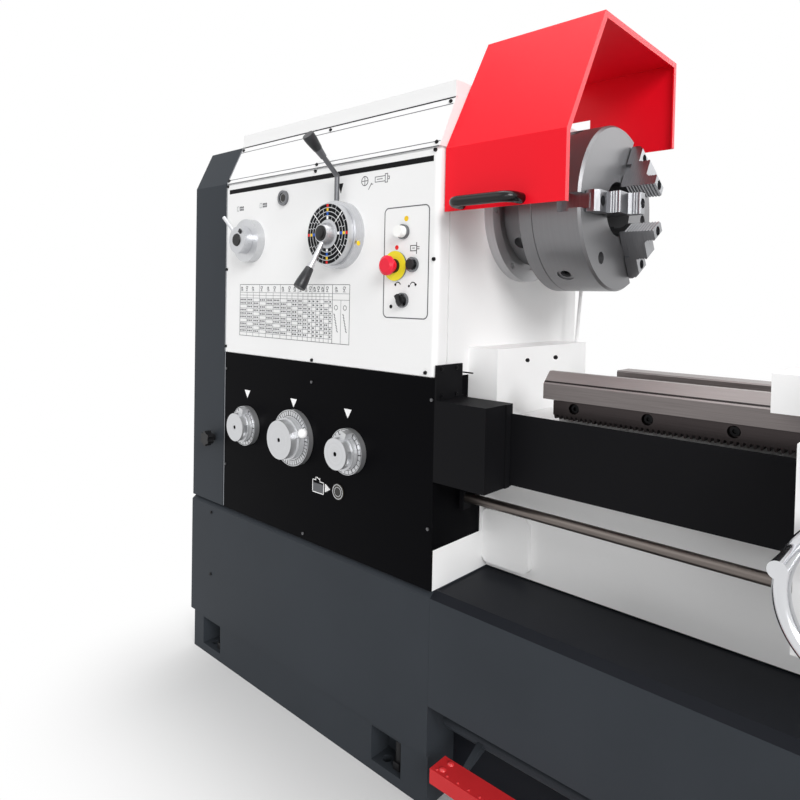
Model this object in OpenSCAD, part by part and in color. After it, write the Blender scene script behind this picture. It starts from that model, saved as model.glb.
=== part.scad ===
// Engine lathe: geared headstock, gap bed, three-jaw chuck with hinged guard, carriage and tailstock.
// X runs along the spindle towards the tailstock, Y runs away from the operator, Z is up.
// The origin is on the floor, straight below the front spindle bearing.

/* [Capacity] */
// Distance between centres with the tailstock at the end of the bed
between_centres = 4000; // [3000:50:6000]
// Height of the spindle axis above the floor
spindle_z = 1186; // [1150:1:1230]
// Height of the spindle axis above the flat guideways
centre_h = 338; // [320:1:350]

/* [Bed] */
// Width over the guideways
bed_w = 384; // [370:1:420]
// Height of the crest of a V guideway above the flat ones
vee_h = 20; // [12:1:22]
// Drop from the carriage's guideways to the tailstock's
inner_drop = 30; // [20:1:36]
// Depth of the guideway flange
way_t = 30; // [24:1:36]
// Thickness of the bed's walls
bed_wall = 24; // [18:1:30]
// Distance from the headstock face to the start of the guideways
gap_len = 175; // [150:1:200]
// Depth of the gap below the flat guideways
gap_depth = 85; // [70:1:100]
// Module of the carriage rack
rack_module = 3; // [2.5:0.5:4]
// Height of the rack
rack_h = 34; // [28:1:38]
// Distance between the rack's fixing screws
rack_screw_pitch = 136; // [100:1:200]

/* [Stand] */
// Height of the stand
stand_h = 430; // [400:1:450]
// Thickness of the bevel along the stand's front edge
bevel_h = 12; // [6:1:20]
// Height of the bottom of the skirt above the floor
skirt_z = 104; // [80:1:130]
// Height of the bottom edge of the tray's front above the floor
tray_z = 206; // [180:1:240]
// Sheet thickness of the tray
tray_t = 3; // [2:0.5:5]
// Width of an opening for a levelling bolt
niche_w = 84; // [76:1:100]
// Diameter of an anchor hole
anchor_d = 22; // [16:1:26]
// Diameter of a levelling bolt
level_d = 20; // [16:1:24]

/* [Headstock] */
// Distance from the front bearing to the headstock's face
face_x = 60; // [50:1:80]
// Length of the headstock casing
head_len = 726; // [700:1:760]
// Depth of the headstock casing
head_depth = 560; // [530:1:600]
// Distance from the casing's front to the spindle axis
axis_to_front = 296; // [285:1:310]
// Height of the gearbox panel
gear_panel_h = 416; // [400:1:440]
// Height of the upper front panel
front_panel_h = 447; // [430:1:470]
// Height of the slanted panel
slant_h = 104; // [80:1:120]
// How far the slanted panel leans back
slant_in = 49; // [30:1:70]
// Height of the lid
lid_h = 33; // [24:1:40]
// Thickness of the front sheets
sheet_t = 4; // [3:0.5:6]
// Width of the end cover
cover_w = 150; // [140:1:170]

/* [Spindle and chuck] */
// Bore through the spindle
spindle_bore = 105; // [80:1:112]
// Diameter of the spindle's nose
nose_d = 216; // [200:1:220]
// Diameter of the front bearing cover
bearing_cover_d = 290; // [270:1:310]
// Diameter of the chuck
chuck_d = 330; // [315:1:336]
// Length of the chuck body
chuck_l = 101; // [95:1:120]
// Thickness of the chuck's backplate
backplate_t = 30; // [25:1:36]
// Width of a jaw
jaw_w = 40; // [34:1:46]
// Distance from the spindle axis to the tip of a jaw
jaw_r = 40; // [36:1:50]
// Running clearance of shafts in their bores
run_gap = 0.05; // [0.02:0.01:0.1]
// Clearance between sliding or stacked pieces
seat_gap = 0.3; // [0.2:0.05:0.4]

/* [Guard] */
// Width of the chuck guard
guard_w = 254; // [240:1:262]
// Distance from the spindle axis to the guard's front
guard_front = 281; // [260:1:300]
// Height of the guard's top above the spindle axis
guard_top = 339; // [320:1:360]
// Sheet thickness of the guard
guard_t = 3; // [2:0.5:5]

/* [Controls] */
// Diameter of the speed dial's base
dial_d = 146; // [136:1:150]
// Depth of the speed dial
dial_h = 40; // [36:1:46]
// Diameter of the threading lever's base
lever_base_d = 108; // [90:1:116]
// Diameters of the feed selectors' rings
ring_d = [100, 132, 100];
// Diameters of the feed selectors
knob_d = [70, 90, 68];
// Depths of the feed selectors
knob_h = [26, 34, 30];
// Diameter of the emergency stop's ring
estop_ring_d = 60; // [50:1:66]
// Mounting diameter of the buttons
button_d = 30; // [28:1:34]

/* [Rods] */
// Diameter of the leadscrew
leadscrew_d = 40; // [35:1:44]
// Diameter of the feed rod
feed_rod_d = 28; // [24:1:32]
// Diameter of the control rod
control_rod_d = 20; // [18:1:22]

/* [Carriage] */
// Distance from the headstock's face to the apron at rest
carriage_gap = 610; // [560:10:900]
// Length of the apron
apron_l = 460; // [440:1:520]
// Length of the saddle
saddle_l = 560; // [540:1:620]
// Width of the cross slide
cross_w = 170; // [160:1:190]
// Side of the toolpost
post_w = 140; // [120:1:144]
// Height of the shank of a turning tool
tool_h = 32; // [20:1:34]
// Diameter of the apron handwheel
wheel_d = 230; // [200:1:240]

/* [Tailstock] */
// Length of the tailstock body
tail_l = 400; // [380:1:440]
// Diameter of the quill
quill_d = 90; // [80:1:100]
// How far the quill and its centre stand out at rest
quill_out = 130; // [110:1:150]

/* [Hidden] */
$fn = 64;

// Colours
anthracite = [0.22, 0.23, 0.26];
paint_white = [0.92, 0.92, 0.92];
panel_black = [0.07, 0.07, 0.08];
guard_red = [0.93, 0.1, 0.16];
ground_steel = [0.42, 0.39, 0.37];
bright_steel = [0.72, 0.72, 0.73];

// Levels
way_z = spindle_z - centre_h;
gap_z = way_z - gap_depth;
foot_h = 80;
box_z0 = stand_h + foot_h;
split_z = stand_h + gear_panel_h;
fold_z = split_z + front_panel_h;
head_top = fold_z + slant_h;
joint_gap = 2;

// Headstock outline
front_y = -axis_to_front;
back_y = head_depth - axis_to_front;
head_x0 = face_x - head_len;
cover_x0 = head_x0 - cover_w;
cast_y = front_y + sheet_t;
box_back = -136;
corner_r = 12;

// Bed outline
way_x0 = face_x + gap_len;
chuck_x0 = face_x + 93;
chuck_x1 = chuck_x0 + backplate_t + chuck_l;
centre_x0 = chuck_x0 + 80;
tail_tip = centre_x0 + between_centres;
tail_x0 = tail_tip + quill_out;
tail_x1 = tail_x0 + tail_l;
bed_x1 = tail_x1 + 70;
half_w = bed_w / 2;
wall_y = half_w - 62;
foot_y = wall_y - 22;
flange_in = half_w - 132;
wall_top = way_z - way_t - 42;

// Stand outline
stand_y = front_y - 2;
stand_back = back_y - 2;
bevel_w = 16;
plinth_in = 13;
end_len = 560;
end_x0 = bed_x1 - end_len;
mid_x = (face_x + end_x0) / 2;
mid_w = 300;
kick_y = stand_y + 87;
niche_d = 60;
niche_z = 22;
niche_h = 74;

// A block given by its limits along each axis
module block(x, y, z) {
  translate([x[0], y[0], z[0]]) cube([x[1] - x[0], y[1] - y[0], z[1] - z[0]]);
}

// A round bar along X
module bar_x(x0, x1, y, z, d) {
  translate([x0, y, z]) rotate([0, 90, 0]) cylinder(h = x1 - x0, d = d);
}

// A round bar along Y
module bar_y(y0, y1, x, z, d) {
  translate([x, y1, z]) rotate([90, 0, 0]) cylinder(h = y1 - y0, d = d);
}

// A Y-Z outline drawn out along X
module along_x(x0, x1, points) {
  translate([x0, 0, 0]) rotate([90, 0, 90]) linear_extrude(height = x1 - x0) polygon(points);
}

// ---------------------------------------------------------------- stand

// Section of the stand: plinth, skirt and bevelled top edge
function stand_section() = [
  [stand_y + 4, 0], [stand_y + 4, skirt_z], [stand_y, skirt_z], [stand_y, stand_h - bevel_h],
  [stand_y + bevel_w, stand_h], [stand_back, stand_h], [stand_back, 0]
];

// An opening in the plinth, front and back, with an anchor hole in its floor
module niche(x) {
  for (side = [0, 1]) {
    y0 = side == 0 ? stand_y - 1 : stand_back - niche_d;
    block([x, x + niche_w], [y0, y0 + niche_d + 1], [niche_z, niche_z + niche_h]);
    translate([x + niche_w * 0.28, niche_bolt_y(side), -1]) cylinder(h = niche_z + 2, d = anchor_d);
  }
}

function niche_bolt_y(side) = side == 0 ? stand_y + niche_d / 2 : stand_back - niche_d / 2;

// X of the left edge of each opening
function niche_xs() = [
  cover_x0 + 60, face_x - 70 - niche_w, end_x0 + 60, bed_x1 - 60 - niche_w
];

motor_y = 60;
motor_z = 230;
belt_x = [head_x0 - 98, head_x0 - 26];
louvre_n = 7;

module head_pedestal() {
  color(anthracite) difference() {
    along_x(cover_x0, face_x, stand_section());
    block([cover_x0 - 1, cover_x0 + plinth_in], [stand_y - 1, stand_back + 1], [-1, skirt_z]);
    for (i = [0, 1]) niche(niche_xs()[i]);
    block([cover_x0 + 20, -240], [-150, stand_back - 20], [34, stand_h - 26]);
    block([belt_x[0] - 10, belt_x[1] + 10], [-60, 220], [stand_h - 30, stand_h + 1]);
    for (i = [0 : louvre_n - 1])
      block([head_x0 + 60, head_x0 + 320], [stand_back - 21, stand_back + 1], [150 + i * 30, 160 + i * 30]);
  }
}

module bed_pedestals() {
  color(anthracite) {
    difference() {
      along_x(end_x0, bed_x1, stand_section());
      block([bed_x1 - plinth_in, bed_x1 + 1], [stand_y - 1, stand_back + 1], [-1, skirt_z]);
      for (i = [2, 3]) niche(niche_xs()[i]);
    }
    difference() {
      block([mid_x - mid_w / 2, mid_x + mid_w / 2], [kick_y + 6, -kick_y - 6], [0, stand_h]);
      block([mid_x - mid_w / 2 + 40, mid_x + mid_w / 2 - 40], [kick_y, -kick_y], [40, 300]);
    }
  }
}

// Section of the tray: front apron, bevelled rim, shallow shelf and a trough below the bed
tray_y0 = stand_y;
shelf_z = stand_h - 3;
trough_y = foot_y - 40;
trough_z = stand_h - 110;
rim_h = 28;
tray_x0 = face_x + seat_gap;
tray_x1 = end_x0 - seat_gap;

function tray_section() = [
  [tray_y0, tray_z], [tray_y0, stand_h - bevel_h], [tray_y0 + bevel_w, stand_h],
  [tray_y0 + bevel_w + 6, stand_h], [tray_y0 + bevel_w + 6, shelf_z], [-foot_y, shelf_z],
  [-trough_y, trough_z], [trough_y, trough_z], [foot_y, shelf_z],
  [stand_back - 22, shelf_z], [stand_back - 22, stand_h + rim_h], [stand_back, stand_h + rim_h],
  [stand_back, stand_h + rim_h - tray_t], [stand_back - 19, stand_h + rim_h - tray_t],
  [stand_back - 19, shelf_z - tray_t], [foot_y + 1, shelf_z - tray_t],
  [trough_y + 1, trough_z - tray_t], [-trough_y - 1, trough_z - tray_t],
  [-foot_y - 1, shelf_z - tray_t], [tray_y0 + bevel_w + 3, shelf_z - tray_t],
  [tray_y0 + bevel_w, stand_h - 4], [tray_y0 + tray_t, stand_h - bevel_h - 2],
  [tray_y0 + tray_t, tray_z]
];

weld_gap = 0.05;

// Welded from folded strips that meet edge to edge
module chip_tray() {
  color(anthracite) {
    difference() {
      along_x(tray_x0, tray_x1, tray_section());
      block([mid_x - mid_w / 2 - 1, mid_x + mid_w / 2 + 1], [kick_y + tray_t, -kick_y], [0, stand_h + 1]);
      for (y = [tray_y0 + bevel_w + 8, -foot_y, -trough_y, trough_y, foot_y, stand_back - 24])
        block([tray_x0 - 1, tray_x1 + 1], [y - weld_gap / 2, y + weld_gap / 2], [trough_z - 20, stand_h - 1]);
    }
    block([tray_x0, tray_x1], [kick_y, kick_y + tray_t], [36, shelf_z - tray_t - weld_gap]);
  }
}

// Levelling bolts with their nuts, one in each opening of the plinths
module levelling_bolts() {
  color(bright_steel)
    for (x = niche_xs(), side = [0, 1])
      translate([x + niche_w * 0.72, niche_bolt_y(side), niche_z]) {
        cylinder(h = 58, d = level_d);
        cylinder(h = 16, d = level_d * 1.6, $fn = 6);
      }
}

// ---------------------------------------------------------------- bed

module vee(x0, x1, y, half, z) {
  along_x(x0, x1, [
    [y - half, z - 1], [y - half, z], [y - half + vee_h, z + vee_h],
    [y + half - vee_h, z + vee_h], [y + half, z], [y + half, z - 1]
  ]);
}

front_vee_y = -half_w + 28;
inner_vee_y = half_w - 98;
outer_half = 26;
inner_half = 24;
// The tailstock's guideways lie between the carriage's and lower than they do
inner_z = way_z - inner_drop;
flat_in = wall_y - 2;

// One long wall with its guideway flange and foot, on the side given by sign
module bed_side(sign) {
  w = bed_wall;
  pts = [
    [foot_y, stand_h], [wall_y, wall_top], [wall_y, way_z - way_t], [half_w, way_z - way_t],
    [half_w, way_z - 2], [half_w - 2, way_z], [flat_in + 3, way_z], [flat_in, way_z - 3], [flat_in, inner_z],
    [flange_in, inner_z], [flange_in, inner_z - way_t], [wall_y - w, inner_z - way_t - 8],
    [wall_y - w, wall_top], [foot_y - w, stand_h + 40], [foot_y - w - 30, stand_h + 26],
    [foot_y - w - 30, stand_h]
  ];
  along_x(way_x0, bed_x1, [for (p = pts) [sign * p[0], p[1]]]);
}

// Half width over the bed's walls at a height
function wall_at(z) = foot_y + (wall_y - foot_y) * (z - stand_h) / (wall_top - stand_h);

rib_z = inner_z - way_t - 46;
rib_y = wall_at(rib_z) - 1;
rib_pitch = 310;
rib_n = floor((bed_x1 - way_x0 - 60) / rib_pitch);
rib_step = (bed_x1 - way_x0 - bed_wall) / rib_n;

// A block with rounded corners as seen from the front
module pad(x, y, z, r) {
  block([x[0] + r, x[1] - r], y, z);
  block(x, y, [z[0] + r, z[1] - r]);
  for (px = [x[0] + r, x[1] - r], pz = [z[0] + r, z[1] - r])
    bar_y(y[0], y[1], px, pz, 2 * r);
}

// Positions of the rods that drive the carriage
screw_y = -half_w + 20;
screw_z = way_z - 108;
feed_z = screw_z - 50;
switch_y = screw_y - 24;
switch_z = feed_z - 93;
hanger_l = 46;
gap_y = wall_at(gap_z);

module bed() {
  color(paint_white) difference() {
    union() {
      // Guideways
      bed_side(-1);
      bed_side(1);
      vee(way_x0, bed_x1, front_vee_y, outer_half, way_z);
      vee(way_x0, bed_x1, inner_vee_y, inner_half, inner_z);
      // Cross ribs
      for (i = [0 : rib_n])
        along_x(way_x0 + i * rib_step, way_x0 + i * rib_step + bed_wall, [
          [1 - wall_at(stand_h + 30), stand_h + 30], [-rib_y, rib_z], [rib_y, rib_z],
          [wall_at(stand_h + 30) - 1, stand_h + 30]
        ]);
      // Floor of the gap
      along_x(face_x, way_x0 + bed_wall, [
        [-foot_y, stand_h], [-gap_y, gap_z], [gap_y, gap_z], [foot_y, stand_h]
      ]);
      // Platform under the headstock
      block([head_x0 + 26, face_x], [cast_y + 1, stand_back - 6], [stand_h, box_z0]);
      // Square pad on the front
      pad([face_x, face_x + 112], [-foot_y - 18, -foot_y + 20], [stand_h + 14, stand_h + 128], 14);
      // Hanger for the rods at the end of the bed
      block([bed_x1 - hanger_l, bed_x1], [switch_y - 22, -foot_y + 4], [switch_z - 28, screw_z + 34]);
    }
    for (rod = rods())
      bar_x(bed_x1 - hanger_l - 1, bed_x1 + 1, rod[0], rod[1], rod[2] + 2 * run_gap);
  }
}

function rods() = [
  [screw_y, screw_z, leadscrew_d - 10], [screw_y, feed_z, feed_rod_d], [switch_y, switch_z, control_rod_d]
];

rack_p = PI * rack_module;
rack_x0 = way_x0 + 4;
rack_n = floor((bed_x1 - 60 - rack_x0) / rack_p);
rack_z1 = way_z - way_t - 6;
rack_z0 = rack_z1 - rack_h;
tooth_h = 2.25 * rack_module;
rack_screw_n = floor((rack_n * rack_p - 60) / rack_screw_pitch);

// Toothed rack below the front guideway, with counterbores for its screws
module rack() {
  teeth = [for (i = [0 : rack_n - 1], p = [[0.06, 1], [0.22, 0], [0.5, 0], [0.66, 1]])
    [rack_x0 + (i + p[0] + 0.14) * rack_p, rack_z0 + p[1] * tooth_h]];
  color(ground_steel) difference() {
    translate([0, -wall_y, 0]) rotate([90, 0, 0]) linear_extrude(height = 30)
      polygon(concat(
        [[rack_x0 + rack_n * rack_p, rack_z1], [rack_x0, rack_z1], [rack_x0, rack_z0 + tooth_h]], teeth,
        [[rack_x0 + rack_n * rack_p, rack_z0 + tooth_h]]));
    for (i = [0 : rack_screw_n])
      bar_y(-wall_y - 31, -wall_y - 16, rack_x0 + 42 + i * rack_screw_pitch, rack_z1 - 12, 20);
  }
}

// ---------------------------------------------------------------- headstock

journal_d = 150;
rear_d = 130;
head_wall = 40;

module headstock() {
  color(paint_white) for (z = hinge_zs) {
    hinge_leaf([head_x0 + 2, head_x0 + 38], z + leaf_h + 1);
    translate([head_x0 - seat_gap / 2, pin_y, z - 2]) cylinder(h = 2 * leaf_h + 3, d = pin_d);
  }
  color(paint_white) difference() {
    along_x(head_x0 + 2, face_x, [
      [box_back, box_z0], [back_y, box_z0], [back_y, head_top], [cast_y + slant_in, head_top],
      [cast_y, fold_z], [cast_y, split_z], [box_back, split_z]
    ]);
    // Oil chamber, closed by the lid
    block([head_x0 + head_wall, face_x - head_wall], [box_back + 40, back_y - head_wall],
      [box_z0 + 40, head_top + 1]);
    block([head_x0 + head_wall, face_x - head_wall], [cast_y + 40, box_back + 41],
      [split_z + 40, fold_z - 40]);
    // Seats of the spindle
    bar_x(face_x - head_wall - 1, face_x + 1, 0, spindle_z, journal_d + 2 * run_gap);
    bar_x(head_x0, head_x0 + head_wall + 1, 0, spindle_z, rear_d + 2 * run_gap);
    bar_x(head_x0, head_x0 + head_wall + 1, pulley_y, pulley_z, pulley_shaft_d + 2 * run_gap);
    bar_x(head_x0, head_x0 + head_wall + 1, gear_y, gear_z[0], gear_shaft_d + 2 * run_gap);
    // Relief for the return of the front panel
    block([face_x - sheet_t, face_x + 1], [cast_y - 1, cast_y + panel_return], [split_z - 1, fold_z]);
    translate([0, 0, split_z - 1]) linear_extrude(height = front_panel_h + 1)
      polygon([[face_x - sheet_t - 9, cast_y - 1], [face_x, cast_y - 1], [face_x, cast_y + 9 + sheet_t]]);
    // Pockets for the stems of the buttons
    for (at = [estop_at, push_at, selector_at])
      bar_y(cast_y - 1, cast_y + 12, at[0], at[1], stem_d + 2 * run_gap);
  }
}

panel_return = 34;
// How far the slanted sheet leans back at its upper edge
slant_end = slant_in * (head_top - 1 - fold_z) / (head_top - fold_z);

module headstock_lid() {
  color(paint_white) union() {
    block([head_x0, face_x], [front_y + slant_in, back_y], [head_top, head_top + 4]);
    block([head_x0 + 2, face_x - 2], [front_y + slant_in + 2, back_y - 2], [head_top + 4, head_top + lid_h]);
  }
}

// Upper front sheet, folded round the right corner, and the slanted sheet above it
module front_panels() {
  t = sheet_t;
  color(paint_white) difference() {
    union() {
    translate([0, 0, split_z + joint_gap]) linear_extrude(height = front_panel_h - joint_gap - 6)
      difference() {
        union() {
          translate([head_x0 + joint_gap, front_y])
            square([head_len - joint_gap - corner_r, t - seat_gap / 2]);
          translate([face_x - t + seat_gap / 2, front_y + corner_r])
            square([t - seat_gap / 2, panel_return - corner_r]);
          intersection() {
            translate([face_x - corner_r, front_y + corner_r]) circle(r = corner_r);
            translate([face_x - corner_r, front_y]) square(corner_r);
          }
        }
        translate([face_x - corner_r, front_y + corner_r]) circle(r = corner_r - t + seat_gap / 2);
      }
    along_x(head_x0 + joint_gap, face_x, [
      [front_y, fold_z], [front_y + slant_end, head_top - 1], [cast_y + slant_end - seat_gap, head_top - 1],
      [cast_y - seat_gap, fold_z]
    ]);
    }
    for (at = [estop_at, push_at, selector_at])
      bar_y(front_y - 1, cast_y + 1, at[0], at[1], stem_d + 2 * run_gap);
  }
}

// X and Z of the feed selectors
knob_x = [-554, -362, -173];
knob_z = stand_h + 235;
knob_shaft_d = 18;

module feed_gearbox() {
  color(panel_black) difference() {
    union() {
      block([head_x0 + joint_gap, face_x], [cast_y, box_back - joint_gap], [box_z0, split_z - 1]);
      block([head_x0 + joint_gap, face_x], [front_y, cast_y], [stand_h + 1, split_z - 1]);
    }
    for (i = [0 : 2])
      bar_y(front_y - 1, front_y + 40, knob_x[i], knob_z, knob_shaft_d + 2 * run_gap);
    bar_x(face_x - 60, face_x + 1, screw_y, screw_z, leadscrew_d - 10 + 2 * run_gap);
    bar_x(face_x - 60, face_x + 1, screw_y, feed_z, feed_rod_d + 2 * run_gap);
    bar_x(face_x - 60, face_x + 1, switch_y, switch_z, control_rod_d + 2 * run_gap);
    bar_x(head_x0 - 1, head_x0 + 60, gear_y, gear_z[1], gear_shaft_d + 2 * run_gap);
    bar_y(front_y - 1, front_y + 16, sight_at[1][0], sight_at[1][1], sight_d + seat_gap);
  }
}

cover_t = 21;

module bearing_cover() {
  color(bright_steel) difference() {
    bar_x(face_x, face_x + cover_t, 0, spindle_z, bearing_cover_d);
    bar_x(face_x - 1, face_x + cover_t + 1, 0, spindle_z, journal_d + 1);
    bar_x(face_x + cover_t - 9, face_x + cover_t + 1, 0, spindle_z, nose_d + 22);
    for (a = [0 : 60 : 300])
      translate([face_x + cover_t - 9, 130 * cos(a), spindle_z + 130 * sin(a)])
        rotate([0, 90, 0]) cylinder(h = 10, d = 14);
  }
}

block_t = 70;
block_top = way_z + 54;
hinge_y = 235;
hinge_z = spindle_z + 194;
hinge_d = 30;

// Block on the headstock's face below the spindle, with the conduit of the guard's switch
module gap_block() {
  color(paint_white) {
    block([face_x, face_x + block_t], [-188, 188], [gap_z + seat_gap, block_top]);
    translate([face_x + 50, 178, block_top]) rotate([-8, 0, 0]) cylinder(h = 430, d = 8);
    block([face_x + 30, face_x + 66], [216, 250], [hinge_z - 62, hinge_z - hinge_d / 2 - 3]);
    bar_x(face_x, guard_x1 - 17, hinge_y, hinge_z, hinge_d);
  }
}

module cabinet() {
  color(paint_white) difference() {
    block([head_x0 + 106, face_x - 120], [back_y, back_y + 170], [box_z0 + 130, head_top - 150]);
    block([head_x0 + 110, face_x - 124], [back_y + 4, back_y + 166], [box_z0 + 134, head_top - 154]);
  }
}

// One leaf of a butt hinge on the rear corner, on the side of the headstock or of the end cover
hinge_zs = [stand_h + 150, head_top - 220];
leaf_h = 60;
pin_d = 6;
pin_y = back_y + 8;
module hinge_leaf(x, z) {
  block(x, [back_y - 0.5, back_y + 3], [z, z + leaf_h]);
  translate([head_x0 - seat_gap / 2, pin_y, z]) cylinder(h = leaf_h, d = 14);
}

// ---------------------------------------------------------------- controls on the front

dial_at = [-213, split_z + 288];
lever_at = [-546, split_z + 290];
sight_at = [[-418, split_z + 388], [-208, stand_h + 138]];
sight_d = 36;
lamp_at = [-28, split_z + 286];
estop_at = [-48, split_z + 218];
push_at = [-2, split_z + 220];
selector_at = [-27, split_z + 149];
collar_h = 22;
core_d = dial_d - 26;
lever_base_h = 22;
ring_h = 14;

// Fixed bases of the levers, the dial and the feed selectors
module control_rings() {
  color(bright_steel) {
    difference() {
      bar_y(front_y - lever_base_h, front_y, lever_at[0], lever_at[1], lever_base_d);
      bar_y(front_y - lever_base_h - 1, front_y + 1, lever_at[0], lever_at[1], knob_shaft_d + 2 * run_gap);
    }
    difference() {
      union() {
        bar_y(front_y - 4, front_y, dial_at[0], dial_at[1], dial_d);
        bar_y(front_y - dial_h, front_y, dial_at[0], dial_at[1], core_d);
        bar_y(front_y - dial_h, front_y - 4 - collar_h - seat_gap, dial_at[0], dial_at[1], dial_d - 12);
      }
      bar_y(front_y - dial_h - 1, front_y + 1, dial_at[0], dial_at[1], knob_shaft_d + 2 * run_gap);
    }
    for (i = [0 : 2])
      difference() {
        bar_y(front_y - ring_h, front_y, knob_x[i], knob_z, ring_d[i]);
        bar_y(front_y - ring_h - 1, front_y + 1, knob_x[i], knob_z, knob_shaft_d + 2);
      }
  }
}

module button_ring(at, d, h, hole) {
  difference() {
    bar_y(front_y - h, front_y, at[0], at[1], d);
    bar_y(front_y - h - 1, front_y + 1, at[0], at[1], hole);
  }
}

bezel_h = 6;
stem_d = 18;

// Rings that hold the buttons, the lamp and the oil sights
module bezels() {
  color(panel_black) {
    button_ring(estop_at, estop_ring_d, 4, stem_d + 2 * run_gap);
    button_ring(push_at, button_d, bezel_h, stem_d + 2 * run_gap);
    button_ring(selector_at, button_d, bezel_h, stem_d + 2 * run_gap);
    button_ring(lamp_at, button_d, bezel_h, button_d - 6);
    button_ring(sight_at[0], sight_d, bezel_h, sight_d - 12);
  }
}

module lenses() {
  color("white") {
    bar_y(front_y - 20, front_y, lamp_at[0], lamp_at[1], button_d - 6 - seat_gap);
    bar_y(front_y - 3, front_y, sight_at[0][0], sight_at[0][1], sight_d - 12 - seat_gap);
    bar_y(front_y - 2, front_y + 16, sight_at[1][0], sight_at[1][1], sight_d);
  }
}

// ---------------------------------------------------------------- belt drive and change gears

pulley_y = 110;
pulley_z = spindle_z - 290;
pulley_d = 260;
motor_pulley_d = 130;
pulley_shaft_d = 45;
motor_shaft_d = 38;
groove_n = 4;
groove_p = 16;
gear_y = -184;
gear_module = 4;
gear_teeth = [40, 48];
gear_z = [split_z + 60, split_z + 60 - gear_module * (gear_teeth[0] + gear_teeth[1]) / 2];
gear_shaft_d = 30;
gear_w = 20;
gear_x0 = head_x0 - 52;

// A pulley with V grooves, its outline turned round its own axis
module grooved_pulley(d) {
  w = groove_n * groove_p + 8;
  pts = concat([[0, 0], [d / 2, 0]],
    [for (i = [0 : groove_n - 1], p = [[0.12, 0], [0.36, -11], [0.64, -11], [0.88, 0]])
      [d / 2 + p[1], 4 + (i + p[0]) * groove_p]],
    [[d / 2, w], [0, w]]);
  rotate([0, 90, 0]) rotate_extrude() polygon(pts);
}

module motor() {
  x0 = head_x0 + 6;
  color(anthracite) {
    bar_x(x0 + 14, x0 + 340, motor_y, motor_z, 236);
    bar_x(x0, x0 + 14, motor_y, motor_z, 250);
    block([x0 + 50, x0 + 300], [motor_y - 100, motor_y + 100], [34, motor_z - 60]);
    block([x0 + 100, x0 + 220], [motor_y - 60, motor_y + 60], [motor_z + 90, motor_z + 150]);
  }
}

module drive_pulley() {
  color(ground_steel) {
    translate([belt_x[0], pulley_y, pulley_z]) grooved_pulley(pulley_d);
    bar_x(belt_x[1] - 1, head_x0 + head_wall, pulley_y, pulley_z, pulley_shaft_d);
  }
}

module motor_pulley() {
  color(ground_steel) {
    translate([belt_x[0], motor_y, motor_z]) grooved_pulley(motor_pulley_d);
    bar_x(belt_x[1] - 1, head_x0 + 5.7, motor_y, motor_z, motor_shaft_d);
  }
}

// Outline of a taut loop round two circles, as two arcs joined by straight runs
function loop_outline(c1, r1, c2, r2) =
  let (d = c2 - c1, base = atan2(d[1], d[0]), lean = acos((r1 - r2) / norm(d)), n = 24)
  concat(
    [for (i = [0 : n]) c1 + r1 * turned(base + lean + (360 - 2 * lean) * i / n)],
    [for (i = [0 : n]) c2 + r2 * turned(base - lean + 2 * lean * i / n)]);

function turned(a) = [cos(a), sin(a)];

module v_belts() {
  upper = [pulley_y, pulley_z];
  lower = [motor_y, motor_z];
  color([0.08, 0.08, 0.08])
    for (i = [0 : groove_n - 1])
      translate([belt_x[0] + 4 + (i + 0.37) * groove_p, 0, 0]) rotate([90, 0, 90])
        linear_extrude(height = 0.26 * groove_p) difference() {
          polygon(loop_outline(upper, pulley_d / 2 + 1, lower, motor_pulley_d / 2 + 1));
          polygon(loop_outline(upper, pulley_d / 2 - 9, lower, motor_pulley_d / 2 - 9));
        }
}

// A spur gear lying in the X-Y plane, with a tooth at angle 0 turned by phase
module spur(teeth, phase) {
  m = gear_module;
  r = m * teeth / 2;
  step = 360 / teeth;
  pts = [for (i = [0 : teeth - 1], p = [[-0.31, -1.2], [-0.14, 0.9], [0.14, 0.9], [0.31, -1.2]])
    (r + p[1] * m) * [cos((i + p[0] * (p[1] > 0 ? 0.8 : 0.86)) * step + phase),
      sin((i + p[0] * (p[1] > 0 ? 0.8 : 0.86)) * step + phase)]];
  linear_extrude(height = gear_w) polygon(pts);
}

module gear_driver() {
  color(ground_steel) {
    translate([gear_x0, gear_y, gear_z[0]]) rotate([90, 0, 90]) spur(gear_teeth[0], -90);
    bar_x(gear_x0 - 16, head_x0 + head_wall, gear_y, gear_z[0], gear_shaft_d);
  }
}

module gear_driven() {
  color(ground_steel) {
    translate([gear_x0, gear_y, gear_z[1]]) rotate([90, 0, 90]) spur(gear_teeth[1], 90 + 180 / gear_teeth[1]);
    bar_x(gear_x0 - 16, head_x0 + 58, gear_y, gear_z[1], gear_shaft_d);
  }
}

// Hinged cover over the belts and the change gears
module end_cover() {
  t = 3;
  outer = [
    [front_y, stand_h + 1], [back_y, stand_h + 1], [back_y, head_top], [front_y + slant_in, head_top],
    [front_y, fold_z]
  ];
  inner = [
    [front_y + t, stand_h], [back_y - t, stand_h], [back_y - t, head_top - t],
    [front_y + slant_in + t, head_top - t], [front_y + t, fold_z - 1]
  ];
  color(anthracite) difference() {
    along_x(cover_x0, head_x0 - seat_gap, outer);
    along_x(cover_x0 + t, head_x0, inner);
    bar_x(cover_x0 - 1, cover_x0 + t + 1, 0, spindle_z, rear_d + 10);
    bar_y(front_y - 1, front_y + t + 1, latch_at[0], latch_at[1], 12 + 2 * run_gap);
  }
  color(anthracite) for (z = hinge_zs)
    difference() {
      hinge_leaf([head_x0 - 38, head_x0 - seat_gap], z);
      translate([head_x0 - seat_gap / 2, pin_y, z - 1]) cylinder(h = leaf_h + 2, d = pin_d + 2 * run_gap);
    }
}
latch_at = [head_x0 - 46, stand_h + 179];

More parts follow.
